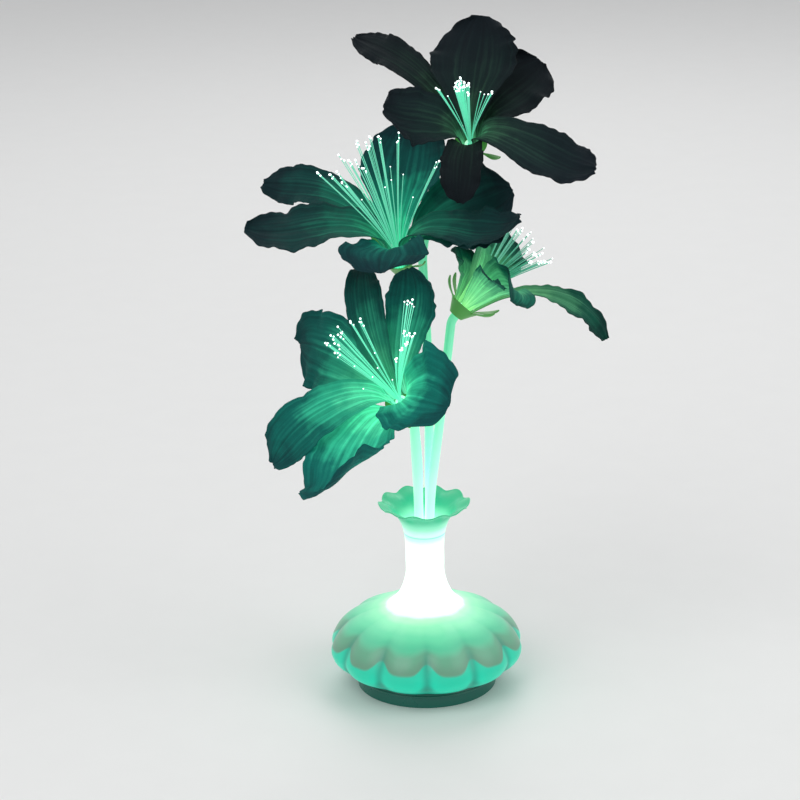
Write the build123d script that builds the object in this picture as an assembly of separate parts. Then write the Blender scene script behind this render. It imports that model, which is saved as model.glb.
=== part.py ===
"""Fibre optic flower lamp: a lobed vase on a battery base, with four stems that carry silk flowers.

Millimetres, +Z up. The origin is on the vase's axis, at the height of the table. -Y is the front.
"""

from build123d import *
import math
import os

# ---------------------------------------------------------------- driving dimensions
running_clearance = 0.05  # beside a shaft, a screw or a tube that slides into its hole
bend_share = 0.45  # how much of a straight run each bend beside it may take up
cut_past = 1.0  # how far a cutting tool runs past the face that it cuts

# Vase: crest radius of the lobes against height, from the foot to the neck, then neck and flare.
lobe_count = 12
groove_depth = 2.0
vase_bottom_z = 7.3
body_profile = [  # (height, crest radius, share of the groove depth)
    (vase_bottom_z, 33.0, 0.30),
    (10.0, 39.8, 0.70),
    (13.5, 44.4, 0.95),
    (18.5, 46.5, 1.00),
    (23.0, 45.2, 1.00),
    (27.5, 42.4, 1.00),
    (31.5, 38.4, 0.95),
    (35.0, 32.4, 0.85),
    (38.0, 25.6, 0.65),
    (41.0, 17.8, 0.40),
    (45.0, 13.4, 0.15),
    (50.0, 10.6, 0.0),
]
neck_radius = 9.2
neck_low_z = 56.0
neck_high_z = 70.0
lip_radius = 21.8
lip_z = 90.8
lip_throat_radius = 12.2
lip_throat_z = 83.6
vase_wall = 1.4
scallop_count = 10
scallop_depth = 1.5
scallop_turn = 95.0
lip_thinning = 0.4  # the wall at the lip as a share of the wall elsewhere

# Base cover: the foot ring, the floor, the battery box and what is screwed to it.
foot_proud = 0.3  # the foot stands out this far past the vase's bottom edge
foot_ring_width = 3.0
foot_bead_radius = 0.6
foot_bead_z = 5.6
foot_shoulder_step = 0.6
floor_z = 2.2
floor_thickness = 1.6
spigot_height = 3.6
spigot_wall = 1.2
spigot_clearance = 0.3

# Three size AAA cells, side by side along X, every second one the other way round.
cell_count = 3
cell_diameter = 10.5
cell_length = 44.5
cell_nipple_diameter = 3.8
cell_nipple_length = 0.8
cell_gap = 0.35
contact_thickness = 0.4
contact_size = 8.0
contact_tag_width = 2.0
contact_tag_rise = 1.5
contact_slack = 0.1
spring_length = 2.6
spring_radius = 2.6
spring_wire_radius = 0.22
spring_turns = 3
box_wall = 1.2
box_roof = 1.4

# Battery door, hinged on two stub pins at its -X end.
door_clearance = 0.25
door_hinge_clearance = 0.5
hinge_barrel_radius = 0.85
hinge_barrel_length = 12.0
hinge_pin_radius = 0.5
hinge_pin_length = 1.2
hinge_notch_clearance = 0.2
hinge_web_thickness = 1.2
door_tongue_width = 8.0
door_tongue_length = 7.0
door_slit = 0.8
door_grip_depth = 0.5
door_grip_count = 3
door_grip_pitch = 1.5
door_grip_width = 0.6
door_grip_length = 5.6

# Screws that hold the base cover to the vase.
base_screw_x = 12.0
base_screw_y = 23.5
base_screw_radius = 1.1
base_screw_head_radius = 2.1
base_screw_head_height = 1.3
base_screw_length = 14.0
screw_hole_clearance = 0.2
boss_radius = 2.8
boss_bottom_z = 11.2
boss_top_z = 23.5
rib_thickness = 1.6
screw_seat_web = 0.6  # floor left under the head of each screw
screw_end_room = 1.0  # pilot depth past each screw's end
recess_width = 0.6
recess_reach = 0.6  # the recess's half length as a share of the head's radius

# Slide switch at the back of the underside.
switch_y = 24.5
switch_length = 8.6
switch_width = 3.8
switch_height = 3.6
switch_wall = 0.6
switch_travel = 3.0
switch_rail = 1.0
knob_length = 2.4
knob_width = 1.8
knob_tip_z = 1.2
knob_neck = 1.2
slider_length = 3.4
slider_height = 1.4
slide_clearance = 0.15
knob_ridge_count = 3
knob_ridge_pitch = 0.7
knob_ridge_width = 0.3
knob_ridge_depth = 0.3
terminal_height = 2.2
terminal_width = 0.8
terminal_thickness = 0.4
terminal_pitch = 2.5

# Circuit board with the colour-changing lamp in its middle.
board_length = 34.0
board_width = 23.0
board_thickness = 1.6
board_post_height = 2.4
board_post_radius = 2.4
board_screw_x = 9.4
board_screw_radius = 0.9
board_screw_head_radius = 1.5
board_screw_head_height = 1.1
board_screw_length = 4.8
led_radius = 2.5
led_flange_radius = 2.9
led_flange_height = 1.0
led_body_height = 3.2
led_leg_radius = 0.25
led_leg_offset = 1.27
led_leg_length = 2.1
chip_size = (5.0, 4.0, 1.2)
chip_y = -6.0
resistor_radius = 0.8
resistor_length = 3.6
resistor_y = 6.0
resistor_pitch = 7.0
board_screw_end_room = 0.4
lead_radius = 0.5
lead_reach = 4.0  # a lead's first run from a tag or a terminal
lead_sag = 1.0
lead_swing = 4.5
lead_drift = 1.5
lead_landing = 3.5  # how far in from the board's edge a lead is soldered

# Light column, lens, ferrule and neck collar, one above the other in the vase.
column_radius = 7.2
column_wall = 1.5
column_flange_radius = 11.2
column_flange_height = 1.4
lens_z = 33.0
lens_thickness = 1.5
lens_bulge = 1.6
lens_ledge = 0.7
lens_clearance = 0.1
collar_bottom_z = 46.0
collar_top_z = 75.5
collar_radius = 7.4
collar_seat_radius = 8.0
collar_seat_height = 3.0
collar_roof_z = 57.0
collar_roof = 1.0
ferrule_radius = 4.0
ferrule_wall = 0.8
ferrule_length = 9.0
ferrule_drop = 4.0

# Stems: tubes that stand in the collar's four sockets, each with a fibre bundle inside.
stem_radius = 2.15
stem_wall = 0.45
stem_first_bend_z = 92.0
stem_end_drop = 1.0
socket_circle = 3.6
bundle_radius = 1.45
bundle_clearance = 0.15
funnel_margin = 0.25
bundle_gap = 0.3  # between the trunk's top and the bundles that carry on above it

# Flower heads, sizes across and along each flower's own axis, counted from the petals' base.
petal_thickness = 0.8
inner_petal_radius = 3.3
outer_petal_radius = 4.45
throat_half_angle = 42.0
throat_opening = 0.3  # what a petal may widen past the throat's angle, per length above the throat
throat_wrap_limit = 0.93  # half the width as a share of the way out to the petal
petal_cup = 0.12
outline_start = 0.05  # how open a petal's outline is at its foot
outline_bias = 1.6  # above 1, the widest place lies nearer the tip
outline_fullness = 0.55
hub_radius = 2.75
hub_below = 3.2
hub_above = 2.0
calyx_wall = 0.7
calyx_below = 4.0
calyx_above = 2.6
calyx_bore = 2.85
calyx_rim_radius = 7.0
calyx_floor = 0.4  # thickness of the cup's floor under the petals
sepal_count = 4
sepal_length = 15.0
sepal_width = 3.0
sepal_thickness = 0.6
sepal_lean = (55, 62, 20)
sepal_half_angle = 60.0
sepal_root = 1.0  # how far below the rim the sepals grow out of the cup
fibre_radius = 0.33
fibre_length = 57.0
fibre_start = 2.2
fibre_rings = ((1, 0.0, 0.0), (5, 0.74, 0.5), (9, 1.48, 1.0))  # strands, ring radius, share of lean
fibre_lean_share = 0.24
fibre_lean_window = 50.0
fibre_open_lean = 60.0
fibre_spread = 1.5  # how much wider the ring of strands is at the throat than at the hub
fibre_turn = 17.0

# Each flower: the base of its petals, the way it faces, the length of its stem's last straight
# run, the stem's turning points above the collar, the length of the tube that the petals form
# before they bend, and its petals as (turn about the axis, lean at foot, middle and tip, length,
# width, layer, twist). Leans are in degrees from the axis, and turns are counted from the
# flower's right-hand side as seen from its front.
INNER = "inner"
OUTER = "outer"
flowers = {
    "top": dict(
        socket=(1, 1),
        base=(24.0, 10.0, 260.5),
        facing=(-0.08, -0.68, 0.73),
        sepal_turn=50.0,
        last_run=15.0,
        knees=[(3.4, 12.0, 150.0), (0.5, 26.0, 219.0)],
        tube=12.0,
        petals=[
            (85, (7, 80, 48), 64, 41, INNER, -29),
            (136, (23, 104, 114), 92, 16, OUTER, -21),
            (186, (14, 71, -6), 54, 31, INNER, 8),
            (268, (16, 90, 141), 51, 19, OUTER, 4),
            (332, (13, 96, 34), 81, 24, INNER, 2),
            (46, (19, 89, 78), 53, 38, OUTER, -6),
        ],
    ),
    "left": dict(
        socket=(-1, 1),
        base=(-9.1, 0.0, 208.3),
        facing=(-0.12, -0.33, 0.93),
        sepal_turn=60.0,
        last_run=14.0,
        knees=[(-5.0, 2.6, 150.0)],
        tube=11.0,
        petals=[
            (93, (8, 62, 40), 69, 39, INNER, 4),
            (157, (22, 97, 100), 95, 20, OUTER, -65),
            (198, (13, 93, 53), 80, 32, INNER, -5),
            (278, (17, 75, 112), 41, 42, OUTER, 0),
            (352, (11, 88, 28), 81, 24, INNER, 15),
            (14, (22, 78, 31), 67, 52, OUTER, 31),
        ],
    ),
    "front": dict(
        socket=(-1, -1),
        base=(-9.2, -14.0, 146.0),
        facing=(-0.35, -0.69, 0.64),
        sepal_turn=40.0,
        last_run=14.0,
        knees=[(-2.4, -3.0, 112.0)],
        tube=10.0,
        petals=[
            (115, (11, 71, 119), 76, 18, INNER, 22),
            (163, (17, 92, 123), 67, 39, OUTER, -51),
            (225, (8, 85, 138), 85, 25, INNER, -23),
            (270, (26, 67, 21), 78, 48, OUTER, 54),
            (345, (18, 55, 77), 59, 43, INNER, -4),
            (79, (22, 60, -6), 69, 24, OUTER, 23),
        ],
    ),
    "right": dict(
        socket=(1, -1),
        base=(18.8, 16.0, 181.6),
        facing=(0.66, 0.10, 0.74),
        sepal_turn=25.0,
        last_run=7.0,
        knees=[(9.2, 1.0, 140.0)],
        tube=12.0,
        petals=[
            (5, (20, 40, 59), 48, 29, INNER, -8),
            (59, (27, 53, 54), 27, 22, OUTER, -21),
            (105, (11, 44, 91), 58, 16, INNER, -53),
            (166, (27, 64, 92), 39, 16, OUTER, 4),
            (199, (23, 56, 171), 41, 30, INNER, -19),
            (267, (23, 69, 115), 77, 16, OUTER, 60),
        ],
    ),
}

# ---------------------------------------------------------------- worked-out sizes
floor_top = floor_z + floor_thickness
foot_radius = body_profile[0][1] + foot_proud
foot_shoulder_radius = foot_radius - foot_shoulder_step
spigot_radius = body_profile[0][1] - body_profile[0][2] * groove_depth - vase_wall - spigot_clearance
spigot_top_z = vase_bottom_z + spigot_height
box_half_x = (cell_length + 2 * contact_thickness + spring_length) / 2 + contact_slack
box_half_y = (cell_count * cell_diameter + (cell_count + 1) * cell_gap) / 2
cell_pitch = cell_diameter + cell_gap
cell_z = floor_top + cell_gap + cell_diameter / 2
box_ceiling = cell_z + cell_diameter / 2 + cell_gap
box_top = box_ceiling + box_roof
hinge_x = -box_half_x - hinge_barrel_radius
hinge_z = floor_z + hinge_barrel_radius
switch_top = floor_top + switch_height
switch_middle_z = floor_top + switch_height / 2
knob_slot_half_x = switch_travel / 2 + knob_length / 2 + slide_clearance
screw_seat_z = floor_z + base_screw_head_height + screw_seat_web
board_z = box_top + board_post_height
board_top = board_z + board_thickness
flange_top = board_top + column_flange_height
column_bore = column_radius - column_wall
trunk_radius = ferrule_radius - ferrule_wall - running_clearance
ferrule_low = collar_bottom_z - ferrule_drop
ferrule_high = ferrule_low + ferrule_length
stem_low = collar_roof_z + collar_roof
socket_radius = stem_radius + running_clearance
sockets = {
    name: tuple(side * socket_circle / math.sqrt(2) for side in flower["socket"])
    for name, flower in flowers.items()
}


# ---------------------------------------------------------------- small helpers
def cylinder(radius, low, high, x=0.0, y=0.0):
    """An upright cylinder between two heights."""
    return Pos(x, y, (low + high) / 2) * Cylinder(radius, high - low)


def block(low, high):
    """A box between two corners."""
    size = [h - l for l, h in zip(low, high)]
    centre = [(h + l) / 2 for l, h in zip(low, high)]
    return Pos(*centre) * Box(*size)


def turned(*points):
    """A solid of revolution about Z from (radius, height) points joined by straight lines."""
    return revolve(make_face(Plane.XZ * Polyline(*points, close=True)), Axis.Z)


def turned_edges(*edges):
    """A solid of revolution about Z from a closed run of edges drawn as (radius, height)."""
    return revolve(make_face(Plane.XZ * Curve(list(edges))), Axis.Z)


def rod(start, end, radius):
    """A straight round rod between two points."""
    run = Vector(end) - Vector(start)
    place = Plane(origin=start, z_dir=run.normalized())
    return extrude(place * Circle(radius), run.length)


def bend_radii(points):
    """For each inner point, the radius of an arc that takes up most of the shorter run beside it."""
    points = [Vector(p) for p in points]
    radii = []
    for a, b, c in zip(points, points[1:], points[2:]):
        turn = math.radians((b - a).get_angle(c - b))
        run = min((b - a).length, (c - b).length)
        radii.append(bend_share * run / math.tan(turn / 2))
    return radii


def bent_path(points, radii=None):
    """Straight runs joined by arcs."""
    return FilletPolyline(*points, radius=radii or bend_radii(points))


def swept(path, outer, inner=0.0):
    """A rod or tube along a path."""
    place = Plane(origin=path @ 0, z_dir=path % 0)
    section = Circle(outer) - Circle(inner) if inner else Circle(outer)
    return sweep(place * section, path=path)


def write(name, *shapes):
    """One STEP file for a node, whose pieces stay separate solids."""
    solids = [s for shape in shapes for s in shape.solids()]
    shape = solids[0] if len(solids) == 1 else Compound(children=solids)
    export_step(shape, f"parts/{name}.step")


# ---------------------------------------------------------------- vase
def lobed_section(height, crest, share):
    """A closed ring of arcs that bulge between grooves, one groove at the front."""
    groove = crest - share * groove_depth
    step = 2 * math.pi / lobe_count

    def at(radius, angle):
        return (radius * math.cos(angle), radius * math.sin(angle), height)

    arcs = []
    for i in range(lobe_count):
        a = i * step - math.pi / 2
        arcs.append(ThreePointArc(at(groove, a), at(crest, a + step / 2), at(groove, a + step)))
    return make_face(Wire(arcs))


def inner_body(inset):
    """The body's smooth inside, which runs behind the grooves by the inset."""
    points = [(crest - share * groove_depth - inset, z) for z, crest, share in body_profile]
    top = points[-1][1]
    return turned_edges(
        Spline(*points), Polyline(points[-1], (0, top), (0, vase_bottom_z), points[0])
    )


def neck_body(inset):
    """The neck and its flare as a full body that runs on past the lip, taken in by the inset."""
    low, low_radius = body_profile[-1][0], body_profile[-1][1] - inset
    foot = (neck_radius - inset, neck_low_z)
    head = (neck_radius - inset, neck_high_z)
    throat = (lip_throat_radius - inset, lip_throat_z)
    lip = (lip_radius - inset * lip_thinning, lip_z + inset * (1 - lip_thinning))
    past = (lip_radius + 2 * cut_past, lip[1])
    top = lip_z + 3 * cut_past + inset
    return turned_edges(
        Spline((low_radius, low), foot, tangents=[(-0.45, 1.0), (0, 1)]),
        Line(foot, head),
        Spline(head, throat, lip, tangents=[(0, 1), (1.0, 0.12)]),
        Line(lip, past),
        Polyline(past, (past[0], top), (0, top), (0, low), (low_radius, low)),
    )


def scallops():
    """An upright prism whose edge is a ring of outward arcs, which trims the lip."""
    step = 2 * math.pi / scallop_count
    low = lip_throat_z - 2 * cut_past

    def at(radius, angle):
        return (radius * math.cos(angle), radius * math.sin(angle))

    arcs = []
    for i in range(scallop_count):
        a = i * step + math.radians(scallop_turn)
        cusp = lip_radius - scallop_depth
        arcs.append(ThreePointArc(at(cusp, a), at(lip_radius, a + step / 2), at(cusp, a + step)))
    prism = Pos(0, 0, low) * extrude(make_face(Wire(arcs)), lip_z + 4 * cut_past - low)
    return prism + cylinder(lip_radius + 3 * cut_past, body_profile[-1][0], low)


def screw_places():
    return [(x, y) for x in (-base_screw_x, base_screw_x) for y in (-base_screw_y, base_screw_y)]


def base_bosses():
    """Four screw bosses, each joined to the wall of the vase by a rib."""
    inside = inner_body(vase_wall / 2)
    reach = max(crest for z, crest, share in body_profile)
    height = boss_top_z - boss_bottom_z
    bosses = []
    for x, y in screw_places():
        outward = Plane(origin=(x, y, boss_bottom_z), x_dir=(x, y, 0), z_dir=(0, 0, 1))
        rib = extrude(outward * Pos(reach / 2, 0) * Rectangle(reach, rib_thickness), height)
        boss = (cylinder(boss_radius, boss_bottom_z, boss_top_z, x, y) + rib) & inside
        pilot_top = screw_seat_z + base_screw_length + screw_end_room
        pilot = base_screw_radius + running_clearance
        bosses.append(boss - cylinder(pilot, boss_bottom_z - cut_past, pilot_top, x, y))
    return bosses


def vase_shell():
    body = loft([lobed_section(*row) for row in body_profile]) - inner_body(vase_wall)
    neck = (neck_body(0.0) & scallops()) - neck_body(vase_wall)
    shell = body + neck
    for boss in base_bosses():
        shell = shell + boss
    return shell


# ---------------------------------------------------------------- base cover and door
def foot_ring():
    """The foot, the floor and the spigot that stands inside the vase."""
    inner = foot_radius - foot_ring_width
    shoulder = (foot_shoulder_radius, vase_bottom_z)
    bead_low = (foot_radius, foot_bead_z - foot_bead_radius)
    bead_high = (foot_radius, foot_bead_z + foot_bead_radius)
    bead_out = (foot_radius + foot_bead_radius, foot_bead_z)
    spigot_in = spigot_radius - spigot_wall
    return turned_edges(
        Polyline((inner, 0), (foot_radius, 0), bead_low),
        ThreePointArc(bead_low, bead_out, bead_high),
        Polyline(bead_high, shoulder, (spigot_radius, vase_bottom_z), (spigot_radius, spigot_top_z)),
        Polyline((spigot_radius, spigot_top_z), (spigot_in, spigot_top_z), (spigot_in, floor_top)),
        Polyline((spigot_in, floor_top), (0, floor_top), (0, floor_z), (inner, floor_z), (inner, 0)),
    )


def contact_tag_slots():
    """Where the end contacts' tags come up through the roof of the battery box."""
    half_x = contact_thickness / 2 + contact_slack
    half_y = contact_tag_width / 2 + contact_slack
    slots = []
    for side in (-1, 1):
        x, y = side * (box_half_x - contact_thickness / 2), side * cell_pitch
        low = (x - half_x, y - half_y, box_ceiling - cut_past)
        slots.append(block(low, (x + half_x, y + half_y, box_top + cut_past)))
    return slots


def switch_rails():
    """A small rail at each end of the switch."""
    rails = []
    near, far = switch_length / 2 + slide_clearance, switch_length / 2 + switch_rail
    for side in (-1, 1):
        low_x, high_x = sorted((side * near, side * far))
        low = (low_x, switch_y - switch_width / 2, floor_z)
        rails.append(block(low, (high_x, switch_y + switch_width / 2, switch_middle_z)))
    return rails


def hinge_notch():
    """Room in the floor and the box wall for the door's hinge barrel, with a hole for each pin."""
    half = hinge_barrel_length / 2 + hinge_notch_clearance
    radius = hinge_barrel_radius + hinge_notch_clearance
    inside = -box_half_x + door_hinge_clearance
    notch = block((hinge_x - radius, -half, floor_z - cut_past), (inside, half, hinge_z + radius))
    reach = half + hinge_pin_length
    hole = hinge_pin_radius + running_clearance
    return notch + rod((hinge_x, -reach, hinge_z), (hinge_x, reach, hinge_z), hole)


def base_cover():
    """The foot with its floor, battery box, screw posts, board posts and switch seat."""
    wall_x, wall_y = box_half_x + box_wall, box_half_y + box_wall
    box = block((-wall_x, -wall_y, floor_z), (wall_x, wall_y, box_top))
    cover = foot_ring() + (box & cylinder(spigot_radius, floor_z, box_top))
    for x, y in screw_places():
        cover = cover + cylinder(boss_radius, floor_z, boss_bottom_z, x, y)
    for x in (-board_screw_x, board_screw_x):
        cover = cover + cylinder(board_post_radius, box_ceiling, board_z, x, 0)
    for rail in switch_rails():
        cover = cover + rail
    inside_low = (-box_half_x, -box_half_y, floor_z - cut_past)
    cover = cover - block(inside_low, (box_half_x, box_half_y, box_ceiling))
    for slot in contact_tag_slots():
        cover = cover - slot
    hole = base_screw_radius + screw_hole_clearance
    head_hole = base_screw_head_radius + screw_hole_clearance
    for x, y in screw_places():
        cover = cover - cylinder(hole, floor_z - cut_past, boss_bottom_z + cut_past, x, y)
        cover = cover - cylinder(head_hole, floor_z - cut_past, screw_seat_z, x, y)
    pilot_low = flange_top - board_screw_length - board_screw_end_room
    for x in (-board_screw_x, board_screw_x):
        pilot = board_screw_radius + running_clearance
        cover = cover - cylinder(pilot, pilot_low, board_z + cut_past, x, 0)
    slot_y = knob_width / 2 + slide_clearance
    slot_low = (-knob_slot_half_x, switch_y - slot_y, floor_z - cut_past)
    cover = cover - block(slot_low, (knob_slot_half_x, switch_y + slot_y, floor_top + cut_past))
    return cover - hinge_notch()


def battery_door():
    """The door with a springy tongue, grip grooves, and a hinge barrel between two stub pins."""
    half_y = box_half_y - door_clearance
    end = box_half_x - door_clearance
    start = -box_half_x + door_hinge_clearance
    door = block((start, -half_y, floor_z), (end, half_y, floor_top))
    for y in (-door_tongue_width / 2, door_tongue_width / 2):
        slit_low = (end - door_tongue_length, y - door_slit / 2, floor_z - cut_past)
        door = door - block(slit_low, (end + cut_past, y + door_slit / 2, floor_top + cut_past))
    for i in range(door_grip_count):
        x = end - door_grip_pitch * (i + 1)
        low = (x - door_grip_width / 2, -door_grip_length / 2, floor_z - cut_past)
        high = (x + door_grip_width / 2, door_grip_length / 2, floor_z + door_grip_depth)
        door = door - block(low, high)
    half = hinge_barrel_length / 2
    pin_end = half + hinge_pin_length
    barrel = rod((hinge_x, -half, hinge_z), (hinge_x, half, hinge_z), hinge_barrel_radius)
    pin = rod((hinge_x, -pin_end, hinge_z), (hinge_x, pin_end, hinge_z), hinge_pin_radius)
    web_half = hinge_web_thickness / 2
    web = block((hinge_x, -half, hinge_z - web_half), (start + cut_past, half, hinge_z + web_half))
    return door + (web & block((hinge_x, -half, floor_z), (end, half, floor_top))) + barrel + pin


def screw(radius, length, head_radius, head_height, seat, x, y, upward):
    """A pan-head screw with a cross recess. The seat is where its head bears."""
    sense = 1 if upward else -1
    shank_end, head_end = seat + sense * length, seat - sense * head_height
    shank = cylinder(radius, *sorted((seat, shank_end)), x, y)
    head = cylinder(head_radius, *sorted((seat, head_end)), x, y)
    recess_low, recess_high = sorted((head_end, head_end + sense * head_height / 2))
    arm = head_radius * recess_reach
    thick = recess_width / 2
    cross = block((x - arm, y - thick, recess_low), (x + arm, y + thick, recess_high))
    cross = cross + block((x - thick, y - arm, recess_low), (x + thick, y + arm, recess_high))
    return shank + head - cross


def base_screws():
    return [
        screw(
            base_screw_radius, base_screw_length, base_screw_head_radius, base_screw_head_height,
            screw_seat_z, x, y, True,
        )
        for x, y in screw_places()
    ]


# ---------------------------------------------------------------- cells and contacts
def cell_rows():
    """Each cell's place across the box, and the side that its nipple points to."""
    middle = (cell_count - 1) / 2
    return [((i - middle) * cell_pitch, 1 if i % 2 == 0 else -1) for i in range(cell_count)]


def cells():
    out = []
    for y, side in cell_rows():
        tip = side * (box_half_x - contact_slack - contact_thickness)
        shoulder = tip - side * cell_nipple_length
        tail = tip - side * cell_length
        body = rod((tail, y, cell_z), (shoulder, y, cell_z), cell_diameter / 2)
        out.append(body + rod((shoulder, y, cell_z), (tip, y, cell_z), cell_nipple_diameter / 2))
    return out


def contact_springs():
    out = []
    for y, side in cell_rows():
        end_room = contact_slack + 1.2 * spring_wire_radius
        height = spring_length - 2 * end_room
        start = (-side * (box_half_x - contact_thickness - end_room), y, cell_z)
        coil = Helix(
            height / spring_turns, height, spring_radius, center=start, direction=(side, 0, 0)
        )
        section = Plane(origin=coil @ 0, z_dir=coil % 0) * Circle(spring_wire_radius)
        out.append(sweep(section, path=coil, is_frenet=True))
    return out


def contact_plates(side):
    """The plates at one end: one for a single cell, with a tag, and one that joins two cells."""
    outer = side * box_half_x
    x_low, x_high = sorted((outer, outer - side * contact_thickness))
    half = contact_size / 2
    z_low, z_high = cell_z - half, cell_z + half

    def plate(y_low, y_high, top):
        return block((x_low, y_low, z_low), (x_high, y_high, top))

    single = side * cell_pitch
    tag_half = contact_tag_width / 2
    tag = plate(single - tag_half, single + tag_half, box_top + contact_tag_rise)
    joined_low, joined_high = sorted((-single, 0.0))
    return [
        plate(single - half, single + half, z_high) + tag,
        plate(joined_low - half, joined_high + half, z_high),
    ]


# ---------------------------------------------------------------- switch
def switch_body():
    """The switch's case, hollow for its slider and open below for the knob's neck."""
    half_x, half_y = switch_length / 2, switch_width / 2
    case = block((-half_x, switch_y - half_y, floor_top), (half_x, switch_y + half_y, switch_top))
    in_x, in_y = half_x - switch_wall, half_y - switch_wall
    inside_low = (-in_x, switch_y - in_y, floor_top + switch_wall)
    case = case - block(inside_low, (in_x, switch_y + in_y, switch_top - switch_wall))
    slot_y = knob_neck / 2 + slide_clearance
    slot_low = (-knob_slot_half_x, switch_y - slot_y, floor_top - cut_past)
    return case - block(slot_low, (knob_slot_half_x, switch_y + slot_y, switch_middle_z))


def switch_knob():
    """The slider in the switch with its knob, at the end of its travel."""
    x = switch_travel / 2
    in_y = switch_width / 2 - switch_wall - slide_clearance
    slider_low = floor_top + switch_wall + slide_clearance
    slider_half = slider_length / 2
    slider = block(
        (x - slider_half, switch_y - in_y, slider_low),
        (x + slider_half, switch_y + in_y, slider_low + slider_height),
    )
    half = knob_length / 2
    head_top = floor_top - slide_clearance
    neck_half = knob_neck / 2
    neck = block(
        (x - half, switch_y - neck_half, knob_tip_z + knob_ridge_depth),
        (x + half, switch_y + neck_half, slider_low + slider_height),
    )
    head = block(
        (x - half, switch_y - knob_width / 2, knob_tip_z),
        (x + half, switch_y + knob_width / 2, head_top),
    )
    for i in range(knob_ridge_count):
        ridge_x = x + (i - (knob_ridge_count - 1) / 2) * knob_ridge_pitch
        low = (ridge_x - knob_ridge_width / 2, switch_y - knob_width, knob_tip_z - cut_past)
        high = (ridge_x + knob_ridge_width / 2, switch_y + knob_width, knob_tip_z + knob_ridge_depth)
        head = head - block(low, high)
    return slider + neck + head


def terminal_top(i):
    """The upper end of one of the three terminals, counted -1, 0, 1 along X."""
    return (i * terminal_pitch, switch_y, switch_top + terminal_height)


def switch_terminals():
    half_x, half_y = terminal_width / 2, terminal_thickness / 2
    out = []
    for i in (-1, 0, 1):
        x, y, top = terminal_top(i)
        out.append(block((x - half_x, y - half_y, switch_top), (x + half_x, y + half_y, top)))
    return out


# ---------------------------------------------------------------- board, lamp and leads
def circuit_board():
    half_x, half_y = board_length / 2, board_width / 2
    board = block((-half_x, -half_y, board_z), (half_x, half_y, board_top))
    holes = ((board_screw_x, board_screw_radius), (led_leg_offset, led_leg_radius))
    for offset, radius in holes:
        for x in (-offset, offset):
            hole = radius + screw_hole_clearance
            board = board - cylinder(hole, board_z - cut_past, board_top + cut_past, x, 0)
    return board


def board_screws():
    return [
        screw(
            board_screw_radius, board_screw_length, board_screw_head_radius,
            board_screw_head_height, flange_top, x, 0, False,
        )
        for x in (-board_screw_x, board_screw_x)
    ]


def led():
    low = board_top + led_flange_height
    high = low + led_body_height
    flange = cylinder(led_flange_radius, board_top, low)
    return flange + cylinder(led_radius, low, high) + Pos(0, 0, high) * Sphere(led_radius)


def led_legs():
    low = board_top - led_leg_length
    return [cylinder(led_leg_radius, low, board_top, x, 0) for x in (-led_leg_offset, led_leg_offset)]


def driver_chip():
    length, width, height = chip_size
    low = (-length / 2, chip_y - width / 2, board_z - height)
    return block(low, (length / 2, chip_y + width / 2, board_z))


def resistors():
    z = board_z - resistor_radius
    half = resistor_length / 2
    return [
        rod((x - half, resistor_y, z), (x + half, resistor_y, z), resistor_radius)
        for x in (-resistor_pitch / 2, resistor_pitch / 2)
    ]


def leads():
    """Three insulated leads: contact to switch, switch to board, and board to contact."""
    side = lead_radius + running_clearance
    tag_x, tag_y = box_half_x - contact_thickness / 2, cell_pitch
    tag_z = box_top + contact_tag_rise + side
    under_board = board_z - side
    right, common = terminal_top(1), terminal_top(0)
    routes = [
        [
            (tag_x, tag_y, tag_z),
            (tag_x - lead_reach, tag_y + lead_swing, tag_z + lead_sag),
            (right[0] + lead_reach, tag_y + 2 * lead_reach, tag_z),
            (right[0], switch_y, tag_z - 2 * lead_sag),
            (right[0], switch_y, right[2] + running_clearance),
        ],
        [
            (common[0], switch_y, common[2] + running_clearance),
            (common[0], switch_y, under_board - lead_sag),
            (common[0] - lead_drift, board_width / 2 + lead_reach, under_board),
            (common[0] - 2 * lead_sag, board_width / 2 - lead_landing, under_board),
        ],
        [
            (-tag_x, -tag_y, tag_z),
            (-tag_x + lead_sag, -tag_y + lead_reach + lead_sag, tag_z),
            (-board_length / 2 - lead_radius, -2 * lead_sag, under_board),
            (-board_length / 2 + lead_reach, -lead_sag, under_board),
        ],
    ]
    return [swept(bent_path(route), lead_radius) for route in routes]


# ---------------------------------------------------------------- light column, ferrule, collar
def light_column():
    column = turned(
        (column_bore, board_top),
        (column_flange_radius, board_top),
        (column_flange_radius, flange_top),
        (column_radius, flange_top),
        (column_radius, collar_bottom_z),
        (column_bore, collar_bottom_z),
        (column_bore, lens_z),
        (column_bore - lens_ledge, lens_z),
        (column_bore - lens_ledge, lens_z - lens_ledge),
        (column_bore, lens_z - 2 * lens_ledge),
    )
    for x in (-board_screw_x, board_screw_x):
        hole = board_screw_radius + screw_hole_clearance
        column = column - cylinder(hole, board_top - cut_past, flange_top + cut_past, x, 0)
    return column


def column_lens():
    """A plain disc with a domed top."""
    radius = column_bore - lens_clearance
    top = lens_z + lens_thickness + lens_bulge
    ball = (radius**2 + lens_bulge**2) / (2 * lens_bulge)
    return cylinder(radius, lens_z, top) & (Pos(0, 0, top - ball) * Sphere(ball))


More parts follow.
